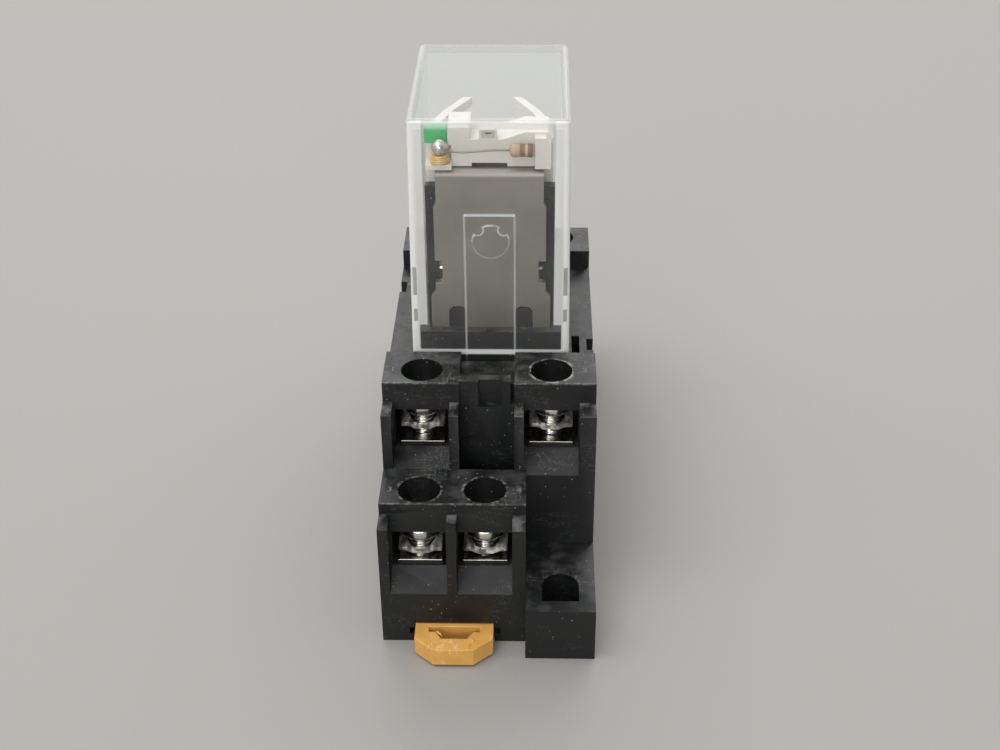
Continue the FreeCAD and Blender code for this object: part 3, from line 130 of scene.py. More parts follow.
class Finish(Nodes):
    """A material in the making, with its main shader and the patterns that its finish is made of."""

    def __init__(self, name):
        self.material = bpy.data.materials.new(name)
        super().__init__(self.material)
        self.shader = self.tree.nodes["Principled BSDF"]
        self.place = self.node("TexCoord", output="Object")

    def set(self, **sockets):
        """Puts values or links on the main shader, each named after its socket."""
        for name, value in sockets.items():
            self.feed(self.shader.inputs[name.replace("_", " ")], value)

    def blend(self, share, first, second):
        """A colour between two."""
        return self.node("Mix", {"data_type": "RGBA"}, {0: share, 6: first, 7: second}, output=2)

    def tint(self, share, first, second):
        """Gives the main shader a colour between two."""
        self.set(Base_Color=self.blend(share, first, second))

    def relief(self, height, depth, strength):
        """Bumps of a given depth in millimetres, as the main shader's normal."""
        inputs = {"Height": height, "Distance": depth * MM, "Strength": strength}
        self.set(Normal=self.node("Bump", inputs=inputs))

    def stretched(self, scale, turn=(0, 0, 0)):
        """Object coordinates turned and stretched."""
        return self.node("Mapping", inputs={"Vector": self.place, "Scale": scale, "Rotation": turn})

    def cloud(self, scale, detail, where=None):
        """Soft noise about 0.5, with features 1 / scale metres wide."""
        vector = where or self.place
        return self.node("TexNoise", inputs={"Vector": vector, "Scale": scale, "Detail": detail})

    def patches(self, scale, detail, low, high):
        """Soft noise, with all below low 0 and all above high 1."""
        return self.rise(self.cloud(scale, detail), low, high)

    def dots(self, scale, low, high):
        """1 at the points of a random field, falling to 0 between two distances counted in cells."""
        distance = self.node("TexVoronoi", inputs={"Vector": self.place, "Scale": scale})
        return 1 - self.rise(distance, low, high)

    def facing(self, axis):
        """How far a surface faces along an axis."""
        normal = self.node("TexCoord", output="Normal")
        return self.node("SeparateXYZ", inputs={0: normal}, output=axis)

    def along(self, axis):
        """A place along an axis, in metres."""
        return self.node("SeparateXYZ", inputs={0: self.place}, output=axis)

    def rise(self, value, low, high):
        """0 below low and 1 above high, with a soft step between."""
        inputs = {"Value": value, "From Min": low, "From Max": high}
        return self.node("MapRange", {"interpolation_type": "SMOOTHSTEP"}, inputs)

    def past(self, value, low, high):
        """The same soft step between two places in millimetres."""
        return self.rise(value, low * MM, high * MM)

    def line(self, value, width):
        """1 where a noise crosses its middle, as thin wandering lines."""
        return 1 - self.rise(abs(value - 0.5), 0.0, width)

    def near(self, value, width):
        """1 where a distance is nothing, falling to 0 at a width in millimetres."""
        return 1 - self.rise(abs(value), width * MM * 0.4, width * MM)

    def span(self, value, low, high):
        """1 between two places in millimetres, with soft ends."""
        low, high, soft = low * MM, high * MM, 0.1 * MM
        return self.rise(value, low, low + soft) * (1 - self.rise(value, high - soft, high))


MAKERS = {}
MATERIALS = {}


def finish(make):
    """Enters the maker of a finish under its name."""
    MAKERS[make.__name__] = make
    return make


def material(name):
    """The material of a finish, made once, so that all its pieces share it."""
    if name not in MATERIALS:
        made = Finish(name)
        MAKERS[name](made, bpy.context.scene.relay_finishes)
        MATERIALS[name] = made.material
    return MATERIALS[name]


# The housing, in millimetres: heights of the ribs' tops, which get painted light, heights between which
# the upper tier's haze and painted sheen set in over the low decks' painted shade, the decks' front edges
# along Y and Z, and the radius of the driver holes' rims.
RIB_TOPS = (18.8, 29.0)
UPPER_TIER = (23, 28)
DECK_EDGES = ((-33.9, 20.44), (-22.7, 31.94))
RIM_RADIUS = 2.92

# Driver holes with a torn rim: centre along X and Y in millimetres, and how pale the rim is.
RAGGED_HOLES = ((8.3, -19.45, 0.8), (-9.1, -30.85, 0.35), (-0.4, -30.85, 0.45))


@finish
def black_moulding(made, paint):
    """Satin black thermoplastic with pale specks, hazed and scratched on its upward faces, the haze partly
    painted sheen.
    """
    x, y, z = (made.along(axis) for axis in "XYZ")
    up = made.rise(made.facing("Z"), 0.25, 0.75)
    level_top = made.rise(made.facing("Z"), 0.955, 0.985)
    haze = made.patches(420, 4, 0.42, 0.72)
    hatch = made.line(made.cloud(900, 2, made.stretched((0.25, 1.6, 1), (0, 0, 0.7))), 0.022)
    cross = made.line(made.cloud(700, 2, made.stretched((1.8, 0.2, 1), (0, 0, 0.35))), 0.018)
    scratches = (hatch + cross) * made.patches(160, 3, 0.48, 0.62)
    # Painted shade: below the upper tier the haze and its painted sheen weaken, leaving the low decks and
    # sills darker.
    high = made.past(z, *UPPER_TIER)
    # Painted light on the rib tops, which are lightened as if lit from above.
    ribs = made.near(z - RIB_TOPS[0] * MM, 0.3) + made.near(z - RIB_TOPS[1] * MM, 0.3)
    # The haze blended over the black on upward faces is partly real dulling and partly painted sheen.
    dulling_and_sheen = 0.13 + level_top * (0.3 + 0.25 * high + 0.6 * ribs)
    worn = made.blend(up * haze * dulling_and_sheen, paint.black, paint.haze)
    # Scratches, and painted light on the rib tops in the scuff colour.
    scored_and_lit = scratches * (0.12 + up * (0.12 + 0.23 * level_top)) + 0.3 * up * ribs * haze
    scuffed_and_lit = made.blend(scored_and_lit, worn, paint.scuff)
    specks = made.dots(1100, 0.06, 0.12) * made.patches(240, 2, 0.46, 0.6)
    frayed = made.patches(1700, 3, 0.46, 0.58)
    # A pale line along the decks' front edges, partly wear and partly painted highlight, joins the specks.
    for edge_y, edge_z in DECK_EDGES:
        edge = made.near(z - edge_z * MM, 0.16) * made.near(y - edge_y * MM, 0.2)
        specks = specks.most(edge * (0.12 + 0.3 * frayed))
    for hole_x, hole_y, share in RAGGED_HOLES:
        across, back = x - hole_x * MM, y - hole_y * MM
        rim = made.near((across * across + back * back) ** 0.5 - RIM_RADIUS * MM, 0.3)
        specks = specks.most(rim * frayed * up * share)
    made.tint(specks * 0.8, scuffed_and_lit, paint.speck)
    roughness = 0.36 + 0.16 * made.cloud(500, 3) + 0.1 * haze - 0.08 * scratches
    made.set(Roughness=roughness, Specular_IOR_Level=0.43)
    made.relief(made.cloud(5200, 2) + 0.6 * made.cloud(1500, 2) - 0.8 * scratches, 0.02, 0.5)


# How far forward the scuffs on the rail slider's pull set in and are full, in millimetres.
PULL_SCUFFS = (38.5, 41.5)


@finish
def amber_moulding(made, paint):
    """Amber nylon, a little translucent, with pale scuffs on the pull."""
    pull = made.past(-1 * made.along("Y"), *PULL_SCUFFS)
    mottled = made.blend(made.patches(420, 4, 0.35, 0.7), paint.amber, paint.amber_pale)
    nicks = made.line(made.cloud(800, 3, made.stretched((1.6, 0.5, 0.35), (0.2, 0.5, 0.9))), 0.03)
    nicks = nicks * pull * made.patches(300, 2, 0.45, 0.6)
    specks = made.dots(900, 0.06, 0.12) * made.patches(260, 2, 0.52, 0.62)
    made.tint(specks * 0.35, made.blend(nicks * 0.7, mottled, paint.amber_scuff), paint.amber_speck)
    made.set(Roughness=0.38 + 0.2 * made.cloud(600, 3) + 0.12 * nicks)
    made.set(Subsurface_Weight=0.12, Subsurface_Scale=0.6 * MM)
    made.relief(made.cloud(2600, 3) - 1.2 * nicks, 0.03, 0.6)


@finish
def white_moulding(made, paint):
    """Off-white moulded plastic, slightly translucent."""
    made.tint(made.cloud(260, 3), paint.white, paint.white_warm)
    made.set(Roughness=0.4 + 0.12 * made.cloud(900, 3))
    made.set(Subsurface_Weight=0.15, Subsurface_Scale=0.5 * MM)
    made.relief(made.cloud(3000, 2), 0.01, 0.5)


@finish
def latch_grey(made, paint):
    """Grey shade in the coil former's catch."""
    made.tint(made.cloud(1500, 2), paint.latch, paint.white_warm)
    made.set(Roughness=0.4)


# The cover: its draft, then in millimetres where its front face and its foot start, its foot line and
# brow, which get painted highlights, the heights between which the painted highlights on its edges
# brighten downwards, its raised panel, the centre and radius of the gate's ring, whose outlines get
# painted highlights, the place and radius of the bites out of it, the borders at its sides, painted
# bright and wider above a height, and the grey windows in them.
COVER_DRAFT = math.tan(math.radians(0.55))
COVER_FRONT = (13.4, 13.6)
COVER_FOOT = (30.9, 31.2)
FOOT_LINE = 31.56
BROW = (64.0, 64.3)
LIT_FOOT = (33, 44)
PANEL_HALF = 3.3
PANEL_TOP = 52.3
RING_CENTRE = (0.15, 48.5)
RING_RADIUS = 2.4
BITE_OFFSET = 1.75
BITE_RADIUS = 0.8
BORDER = (9.5, 9.7)
WIDE_BORDER = (8.4, 8.65)
WIDE_FROM = (35.7, 35.9)
WINDOW_SIDES = (9.75, 10.4)
LOW_WINDOW = (36.3, 38.3)
HIGH_WINDOW = (40.3, 44.6)


def cover_edges(made, x, y, z):
    """Painted highlights along the cover's upright edges and rim, by the distance to the two faces that meet
    there.
    """
    low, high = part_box("relay_cover")
    draft = (z - low[2]) * COVER_DRAFT
    side = high[0] - draft - abs(x)
    end = high[1] - draft - abs(y)
    top = high[2] - z
    upright = 1 - made.past(side + end, 0.25, 1.15)
    rim = 1 - made.past((end + top).least(side + top), 0.2, 0.95)
    return upright.most(0.75 * rim)


def cover_marks(made, x, z):
    """Painted highlights along the raised panel's outline and, within it, the gate's ring with two bites out
    of its top.
    """
    half, top, soft = PANEL_HALF * MM, PANEL_TOP * MM, 0.05 * MM
    upright = made.near(abs(x) - half, 0.22) * (1 - made.rise(z, top, top + soft))
    level_line = made.near(z - top, 0.24) * (1 - made.rise(abs(x), half, half + soft))
    across, up = x - RING_CENTRE[0] * MM, z - RING_CENTRE[1] * MM
    ring = (across * across + up * up) ** 0.5 - RING_RADIUS * MM
    bite = (abs(across) - BITE_OFFSET * MM) ** 2.0 + (up - BITE_OFFSET * MM) ** 2.0
    gate = made.near(ring.most(BITE_RADIUS * MM - bite ** 0.5), 0.17)
    shine = made.patches(900, 2, 0.35, 0.6)
    gate = gate * (0.3 + 0.7 * made.past(up, -1.2, 1.2)) * (0.35 + 0.6 * shine)
    return upright * 0.55 + level_line * 0.9 + gate


@finish
def clear_cover(made, paint):
    """Clear polycarbonate: see-through where it is faced, milky at a slant by painted reflection, and with
    painted highlights along its edges and marks.
    """
    x, y, z = (made.along(axis) for axis in "XYZ")
    out = abs(x)
    front = made.past(-1 * y, *COVER_FRONT)
    # Masks of painted highlights: the edges and rim, the panel outline and gate ring, the foot line, the
    # brow and the bright side borders.
    edges = cover_edges(made, x, y, z)
    mark_highlights = cover_marks(made, x, z) * front
    foot_highlight = made.near(z - FOOT_LINE * MM, 0.55) * front
    brow_highlight = made.past(z, *BROW) * front
    wide = made.past(out, *WIDE_BORDER) * made.past(z, *WIDE_FROM)
    border_highlight = wide.most(made.past(out, *BORDER)) * front
    windows = made.span(z, *LOW_WINDOW) + made.span(z, *HIGH_WINDOW)
    windows = windows * made.span(out, *WINDOW_SIDES) * front
    # Painted reflection: the cover turns milky where it is seen at a slant.
    facing = made.node("LayerWeight", inputs={"Blend": 0.5}, output="Facing")
    slant_reflection = made.rise(facing, 0.8, 0.97)
    haze = made.patches(160, 4, 0.45, 0.8)
    veil_and_reflection = 0.03 + 0.025 * haze + 0.34 * facing ** 2.0 + 0.42 * slant_reflection
    # Painted light: the edge highlights grow brighter towards the foot.
    lit = made.past(-1 * z, -LIT_FOOT[1], -LIT_FOOT[0])
    share = veil_and_reflection + (0.42 + 0.45 * lit) * edges + 0.9 * foot_highlight + 0.35 * brow_highlight + 0.7 * mark_highlights + 0.62 * border_highlight
    share = share.least(0.92) * (0.2 + 0.8 * made.past(z, *COVER_FOOT)) * (1 - 0.6 * windows)
    # The painted highlights and slant reflection take the brighter highlight colour.
    bright = (edges + foot_highlight + slant_reflection + border_highlight).least(1.0)
    made.tint(bright, paint.clear, paint.clear_edge)
    made.set(Specular_IOR_Level=0.3, Roughness=0.3)
    clear = made.node("BsdfTransparent", inputs={"Color": (0.985, 0.99, 0.985)})
    milky = made.node("MixShader", inputs={0: share, 1: clear, 2: Value(made, made.shader.outputs[0])})
    shadow = made.node("LightPath", output="Is Shadow Ray")
    open_way = made.node("BsdfTransparent", inputs={"Color": (0.96, 0.97, 0.965)})
    output = made.tree.nodes["Material Output"]
    made.feed(output.inputs["Surface"], made.node("MixShader", inputs={0: shadow, 1: milky, 2: open_way}))


@finish
def green_lens(made, paint):
    """Translucent green lamp body."""
    made.tint(made.cloud(500, 3), paint.green, paint.green_deep)
    made.set(Roughness=0.22 + 0.12 * made.cloud(900, 2), Coat_Weight=0.3)
    made.set(Subsurface_Weight=0.3, Subsurface_Scale=0.8 * MM)


# The bands round the resistor: start and end along X in millimetres, and colour.
RESISTOR_BANDS = ((3.95, 4.6, (0.2, 0.08, 0.05)), (5.0, 5.6, (0.16, 0.07, 0.08)))


@finish
def resistor_coat(made, paint):
    """Tan lacquer with two dark bands round the body."""
    x = made.along("X")
    soft = 0.06
    coat = paint.tan
    for start, end, band in RESISTOR_BANDS:
        share = made.past(x, start - soft, start) * (1 - made.past(x, end, end + soft))
        coat = made.blend(share * 0.85, coat, band)
    made.set(Base_Color=coat, Roughness=0.34 + 0.15 * made.cloud(900, 3), Coat_Weight=0.2)
    made.relief(made.cloud(1200, 2), 0.03, 0.4)


@finish
def pale_mark(made, paint):
    """The faint relief of the terminal numbers."""
    made.tint(made.cloud(900, 3), paint.haze, paint.scuff)
    made.set(Roughness=0.5 + 0.1 * made.cloud(1200, 2))


def metal(made, bright, dull, rough, spread, grain, depth):
    """A metal whose colour and roughness drift a little, with a fine grain."""
    made.tint(made.patches(300, 4, 0.35, 0.7), bright, dull)
    made.set(Roughness=rough + spread * made.cloud(700, 4), Metallic=1.0)
    made.relief(made.cloud(grain, 3), depth, 0.4)


@finish
def plated_steel(made, paint):
    """Bright nickel plate on the clamp screws, with fine scuffs."""
    metal(made, paint.nickel, paint.nickel_dull, 0.12, 0.16, 2400, 0.02)


@finish
def spring_brass(made, paint):
    """Bare spring brass with faint drawing lines."""
    metal(made, paint.brass, paint.brass_dull, 0.25, 0.2, 2600, 0.01)


@finish
def copper(made, paint):
    """Enamelled copper wire and bare braid."""
    metal(made, paint.copper, paint.copper_dull, 0.28, 0.15, 2200, 0.01)


@finish
def solder(made, paint):
    """Bright solder, lumpy and a little dulled."""
    metal(made, paint.solder, paint.nickel_dull, 0.16, 0.2, 900, 0.08)


@finish
def pressed_steel(made, paint):
    """Tumbled nickel plate on the saddle washers, streaked where they were bent."""
    streaks = made.cloud(900, 3, made.stretched((1.7, 0.45, 1)))
    made.tint(made.rise(streaks, 0.4, 0.62), paint.worn, paint.nickel)
    made.set(Roughness=0.18 + 0.22 * made.cloud(700, 4), Metallic=0.5)
    made.relief(streaks, 0.2, 0.7)


# How far out the painted shade on the clamp plates' end faces starts, in millimetres.
SHADED_ENDS = (14.5, 15)


@finish
def plated_brass(made, paint):
    """Tin plate on the clamp plates, blades and fixed contacts, with painted shade darkening the plates' end
    faces.
    """
    # Painted shade: the plates' end faces, which face along Y, are darkened and roughened.
    sheared = made.rise(abs(made.facing("Y")), 0.8, 0.95) * made.past(abs(made.along("Y")), *SHADED_ENDS)
    plate = made.blend(made.patches(300, 4, 0.35, 0.7), paint.tin, paint.tin_dull)
    made.tint(sheared * 0.93, plate, paint.sheared)
    made.set(Roughness=0.12 + 0.12 * made.cloud(700, 4) + 0.3 * sheared, Metallic=1.0)
    made.relief(made.cloud(2600, 3), 0.01, 0.4)


@finish
def plated_iron(made, paint):
    """Satin nickel on iron, warm grey, with a faint rolled grain and a few dark pits."""
    rolled = made.cloud(1500, 3, made.stretched((0.06, 1, 1)))
    pits = made.dots(260, 0.03, 0.05) * made.patches(90, 1, 0.55, 0.6)
    plate = made.blend(made.patches(110, 3, 0.3, 0.7), paint.iron, paint.iron_dull)
    made.tint(pits, plate, paint.pit)
    made.set(Roughness=0.42 + 0.12 * rolled + 0.3 * pits, Metallic=1.0)
    made.relief(rolled + 0.5 * made.cloud(4000, 2) - 2 * pits, 0.008, 0.6)


@finish
def enamel(made, paint):
    """Pale amber enamel on the coil wire's end."""
    made.tint(made.cloud(900, 3), paint.enamel, paint.brass)
    made.set(Roughness=0.32 + 0.12 * made.cloud(1500, 2), Metallic=0.25, Coat_Weight=0.4)


# Shapes


def placed(name, data):
    """An object of the scene, with the data given."""
    made = bpy.data.objects.new(name, data)
    bpy.context.scene.collection.objects.link(made)
    return made


def piece(bm, name, node, shade=None, smooth=35, nodes=(), bend=None):
    """Makes a mesh object in the finish named, or else in its CAD node's. It rides where the node does, or
    stays where it is made when a bend is given, and stands for the nodes named."""
    mesh = bpy.data.meshes.new(name)
    bm.normal_update()
    bm.to_mesh(mesh)
    bm.free()
    mesh.shade_smooth()
    mesh.set_sharp_from_angle(angle=math.radians(smooth))
    mesh.materials.append(material(shade or SLOT_OF[node]))
    made = placed(name, mesh)
    if bend:
        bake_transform(made)
    else:
        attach(made, BODY_OF[node])
    if nodes:
        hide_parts(*nodes)
    return made


def soften(made, edge, segments=2, angle=30):
    """Rounds a piece's edges."""
    bevel = made.modifiers.new("edges", "BEVEL")
    bevel.width = edge
    bevel.segments = segments
    bevel.limit_method = "ANGLE"
    bevel.angle_limit = math.radians(angle)
    bevel.use_clamp_overlap = True
    bevel.harden_normals = True


def eased(node, edge, name=None, segments=2, angle=30):
    """A CAD node's shape with its edges rounded, which stands for the node."""
    bm = bmesh.new()
    bm.from_mesh(frame["nodes"][node].data)
    bmesh.ops.remove_doubles(bm, verts=bm.verts, dist=0.002 * MM)
    bmesh.ops.dissolve_limit(bm, angle_limit=math.radians(0.5), verts=bm.verts, edges=bm.edges)
    made = piece(bm, name or node + "_eased", node, smooth=angle, nodes=(node,))
    if edge > 0:
        soften(made, edge, segments, angle)


def block(low, high):
    """A rectangular block between two corners in millimetres."""
    low, high = Vector(low) * MM, Vector(high) * MM
    bm = bmesh.new()
    verts = bmesh.ops.create_cube(bm, size=1.0)["verts"]
    bmesh.ops.scale(bm, vec=high - low, verts=verts)
    bmesh.ops.translate(bm, vec=(low + high) / 2, verts=verts)
    return bm


def within(edges, verts):
    """The edges that have both ends among the vertices given."""
    return [e for e in edges if e.verts[0] in verts and e.verts[1] in verts]


def spot(vert):
    """A vertex's place, rounded so that it can be looked up."""
    return tuple(round(c, 9) for c in vert.co)


def rings(centre, stations, angles, closed=False, bm=None):
    """A mesh of rings of vertices extruded one from the next. A station is a function from an angle
    to a radius and a height. The ends are capped, or the last ring is joined to the first."""
    bm = bm or bmesh.new()
    first = bmesh.ops.create_circle(bm, cap_ends=False, segments=len(angles), radius=1.0)["verts"]
    around = sorted(first, key=lambda v: math.atan2(v.co.y, v.co.x) % FULL_TURN)
    turn = dict(zip(around, angles))
    start = loop = within(bm.edges, turn)
    for number, station in enumerate(stations):
        if number:
            made = bmesh.ops.extrude_edge_only(bm, edges=loop)["geom"]
            old = {spot(v): a for v, a in turn.items()}
            turn = {v: old[spot(v)] for v in made if isinstance(v, bmesh.types.BMVert)}
            loop = within([e for e in made if isinstance(e, bmesh.types.BMEdge)], turn)
        for v, a in turn.items():
            radius, height = station(a)
            v.co = Vector((centre.x + radius * math.cos(a), centre.y + radius * math.sin(a), height))
    if closed:
        bmesh.ops.bridge_loops(bm, edges=start + loop)
    else:
        bmesh.ops.holes_fill(bm, edges=start, sides=0)
        bmesh.ops.holes_fill(bm, edges=loop, sides=0)
    bmesh.ops.recalc_face_normals(bm, faces=bm.faces)
    return bm


def even(count):
    """Angles spaced evenly round a circle."""
    return [FULL_TURN * i / count for i in range(count)]


def level(radius, height):
    """A round, flat station."""
    return lambda angle: (radius, height)


def heading(points, number):
    """The way from the point before one to the point after it."""
    return points[min(number + 1, len(points) - 1)] - points[max(number - 1, 0)]


def tube(bm, points, radius, sides, taper=None):
    """A round wire through points, closed at both ends."""
    points = [Vector(p) for p in points]
    end = len(points) - 1
    last = None
    for number, point in enumerate(points):
        turn = heading(points, number).to_track_quat("Z", "Y").to_matrix().to_4x4()
        size = radius * (taper(number / end) if taper else 1)
        lay = Matrix.Translation(point) @ turn
        cap = number in (0, end)
        made = bmesh.ops.create_circle(bm, cap_ends=cap, segments=sides, radius=size, matrix=lay)["verts"]
        ring = within({e for v in made for e in v.link_edges}, made)
        if last:
            bmesh.ops.bridge_loops(bm, edges=last + ring)
        last = ring
    bmesh.ops.recalc_face_normals(bm, faces=bm.faces)


def curved(points, steps):
    """Points along a smooth curve through the points given."""
    points = [Vector(p) for p in points]
    padded = [2 * points[0] - points[1]] + points + [2 * points[-1] - points[-2]]
    out = []
    for a, b, c, d in zip(padded, padded[1:], padded[2:], padded[3:]):
        for step in range(steps):
            t = step / steps
            slope = (c - a) * t
            bow = (2 * a - 5 * b + 4 * c - d) * t * t
            twist = (3 * b - a - 3 * c + d) * t ** 3
            out.append(0.5 * (2 * b + slope + bow + twist))
    return out + [points[-1]]


# Sizes and colours


def colour(name, description, default):
    words = {"name": name, "description": description}
    return bpy.props.FloatVectorProperty(**words, default=default, subtype="COLOR")


def length(name, description, default):
    """A size, whose default is given in millimetres."""
    return bpy.props.FloatProperty(name=name, description=description, default=default * MM, unit="LENGTH")


def power(name, description, default):
    return bpy.props.FloatProperty(name=name, description=description, default=default, unit="POWER")


class SizeSettings(bpy.types.PropertyGroup):
    edge: length("Housing edge", "Radius of the housing's moulded edges", 0.14)
    fine_edge: length("Fine edge", "Radius of the small parts' edges", 0.08)
    slider_edge: length("Slider edge", "Radius of the rail slider's edges", 0.18)
    cover_edge: length("Cover edge", "Radius of the dust cover's edges", 0.05)
    lamp_edge: length("Lamp edge", "Radius of the lamp's edges", 0.25)
    figure_height: length("Number height", "Height of the terminal numbers", 1.5)
    pitch: length("Thread pitch", "Pitch of the clamp screws", 0.6)
    thread_depth: length("Thread depth", "Depth of the clamp screws' thread", 0.26)
    wire: length("Coil wire", "Spacing of the coil's turns", 0.24)


class FinishSettings(bpy.types.PropertyGroup):
    black: colour("Black", "Socket and relay base", (0.007, 0.0078, 0.0078))
    # Haze also colours the painted sheen on the housing's upward faces, scuff the painted light on its rib
    # tops, and speck the pale line of wear and painted highlight along its decks' front edges.
    haze: colour("Haze", "Dulled upward faces", (0.1, 0.101, 0.1))
    scuff: colour("Scuff", "Scratches in the black plastic", (0.2, 0.2, 0.195))
    speck: colour("Speck", "Specks of pale dust and swarf", (0.42, 0.41, 0.38))
    amber: colour("Amber", "Rail slider", (0.72, 0.38, 0.085))
    amber_pale: colour("Pale amber", "Mottling of the rail slider", (0.8, 0.45, 0.12))
    amber_scuff: colour("Amber scuff", "Torn edges of the rail slider", (0.97, 0.76, 0.44))
    amber_speck: colour("Amber speck", "Dark specks on the rail slider", (0.2, 0.1, 0.03))
    white: colour("White", "Coil former", (0.78, 0.75, 0.71))
    white_warm: colour("Warm white", "Mottling of the coil former", (0.72, 0.67, 0.61))
    latch: colour("Latch", "Square in the coil former's catch", (0.36, 0.36, 0.35))
    # Clear is the colour of the cover's milky veil, which is partly painted reflection; the colour after it
    # is that of the cover's painted highlights.
    clear: colour("Clear", "Dust cover", (0.66, 0.67, 0.655))
    clear_edge: colour("Clear edge", "The dust cover's bright edges", (0.88, 0.89, 0.87))
    green: colour("Green", "Lamp", (0.09, 0.58, 0.2))
    green_deep: colour("Deep green", "Shade in the lamp", (0.05, 0.42, 0.14))
    tan: colour("Tan", "Resistor body", (0.52, 0.38, 0.24))
    nickel: colour("Nickel", "Screws and washers", (0.74, 0.73, 0.69))
    nickel_dull: colour("Dull nickel", "Worn plate", (0.52, 0.51, 0.48))
    worn: colour("Worn nickel", "Streaks in the saddle washers", (0.2, 0.19, 0.175))
    tin: colour("Tin", "Clamp plates and blades", (0.78, 0.78, 0.74))
    tin_dull: colour("Dull tin", "Dulled plate", (0.58, 0.57, 0.53))
    # This colour paints shade on the clamp plates' end faces.
    sheared: colour("Sheared brass", "Dark sheared ends of the clamp plates", (0.02, 0.019, 0.017))
    brass: colour("Brass", "Springs", (0.76, 0.55, 0.26))
    brass_dull: colour("Dull brass", "Tarnish", (0.58, 0.4, 0.18))
    iron: colour("Iron", "Yoke and armature", (0.372, 0.344, 0.311))
    iron_dull: colour("Dull iron", "Shade in the iron's plate", (0.316, 0.292, 0.265))
    pit: colour("Pit", "Dark pits in the iron's plate", (0.05, 0.04, 0.035))
    copper: colour("Copper", "Coil and braids", (0.8, 0.38, 0.16))
    copper_dull: colour("Dull copper", "Enamel shade", (0.62, 0.26, 0.1))
    enamel: colour("Enamel", "End of the coil wire", (0.82, 0.47, 0.17))
    solder: colour("Solder", "Soldered joints", (0.8, 0.8, 0.78))


class StageSettings(bpy.types.PropertyGroup):
    floor: colour("Floor", "Floor colour", (0.352, 0.346, 0.33))
    sky: bpy.props.FloatProperty(name="Sky", description="Light overhead and behind", default=0.7)
    sky_front: bpy.props.FloatProperty(name="Front", description="Light in front", default=0.16)
    key: power("Key", "Power of the overhead lamp", 5.0)
    back: power("Back", "Power of the lamp behind", 4.5)
    front: power("Front lamp", "Power of the wide lamp in front", 3.2)
    strip: power("Strip", "Power of the narrow lamp in front", 0.5)


# Pieces

# The terminal numbers, in millimetres: their places along X at the first four terminals, which the far
# end repeats turned round, and the heights of the two decks.
NUMBER_COLUMNS = (-13.0, 12.75, -13.0, 4.1)
UPPER_TERMINALS = (1, 2, 5, 6)
UPPER_DECK = 32.0
LOWER_DECK = 20.5


class RELAY_OT_housing(bpy.types.Operator):
    """The black socket housing, its floor plate and the terminal numbers"""

    bl_idname = "relay.housing"
    bl_label = "Housing"

    def execute(self, context):
        settings = context.scene.relay_sizes
        eased("socket_body", settings.edge, "housing")
        eased("floor_plate", settings.fine_edge)
        for number in TERMINALS:
            self.figure(number, settings.figure_height)
        return {"FINISHED"}

    def figure(self, number, height):
        """A terminal's number, raised a little beside its driver hole."""
        low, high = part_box("terminal_screw_%d" % number)
        middle = (low + high) / 2
        turned = number > len(NUMBER_COLUMNS)
        column = NUMBER_COLUMNS[(number - 1) % len(NUMBER_COLUMNS)] * MM
        top = (UPPER_DECK if number in UPPER_TERMINALS else LOWER_DECK) * MM
        words = bpy.data.curves.new("figure_%d" % number, "FONT")
        words.body = str(number)
        words.size = height
        words.align_x = "CENTER"
        words.align_y = "CENTER"
        words.extrude = 0.03 * MM
        words.bevel_depth = 0.02 * MM
        maker = placed("figure_maker", words)
        bpy.context.view_layer.update()
        mesh = bpy.data.meshes.new_from_object(maker.evaluated_get(bpy.context.evaluated_depsgraph_get()))
        bpy.data.objects.remove(maker)
        where = Vector((-column if turned else column, middle.y, top))
        mesh.transform(Matrix.Translation(where) @ Matrix.Rotation(math.pi if turned else 0, 4, "Z"))
        bm = bmesh.new()
        bm.from_mesh(mesh)
        bmesh.ops.remove_doubles(bm, verts=bm.verts, dist=0.001 * MM)
        piece(bm, "number_%d" % number, "socket_body", "pale_mark")


# The torn nicks on the rail slider, in millimetres: three places along X, back from the front face and
# along Z, and the nick's thickness, then the height under which they stay and their noise's seed.
NICKS = (
    ((-5.35, 0.10, 2.4), (-5.5, 0.02, 1.6), (-5.15, 0.06, 1.0), 0.14),
    ((-4.55, 0.06, 2.2), (-4.5, 0.01, 1.3), (-4.7, 0.05, 0.7), 0.17),
    ((-4.1, 0.10, 2.5), (-3.9, 0.02, 1.9), (-4.05, 0.08, 1.5), 0.12),
    ((-2.6, 0.3, 3.0), (-2.35, 0.9, 3.0), (-2.2, 1.6, 2.9), 0.2),
    ((-1.75, 1.6, 3.0), (-2.2, 2.2, 2.95), (-2.9, 2.5, 2.7), 0.2),
    ((-6.9, 3.6, 3.0), (-6.4, 3.3, 2.9), (-6.1, 2.9, 2.6), 0.15),
)
NICK_TOP = 2.97
NICK_SEED = 1


class RELAY_OT_slider(bpy.types.Operator):
    """The amber rail slider with its torn, curled nicks"""

    bl_idname = "relay.slider"
    bl_label = "Rail slider"

    def execute(self, context):
        eased("rail_slider", context.scene.relay_sizes.slider_edge, "slider", segments=3)
        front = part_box("rail_slider")[0][1]
        bm = bmesh.new()
        for *places, size in NICKS:
            line = [(x * MM, front + y * MM, min(z, NICK_TOP) * MM) for x, y, z in places]
            tube(bm, curved(line, 5), size * MM, 8, self.curl)
        noise.seed_set(NICK_SEED)
        for v in bm.verts:
            v.co += 0.05 * MM * noise.noise_vector(v.co * 1800)
            v.co.y = max(v.co.y, front + 0.002 * MM)
        piece(bm, "slider_nicks", "rail_slider", smooth=60)
        return {"FINISHED"}

    def curl(self, share):
        """A nick's thickness along its length, full in its middle and thin at its end."""
        return 0.25 + 0.75 * math.sin(math.pi * min(1, share + 0.15))


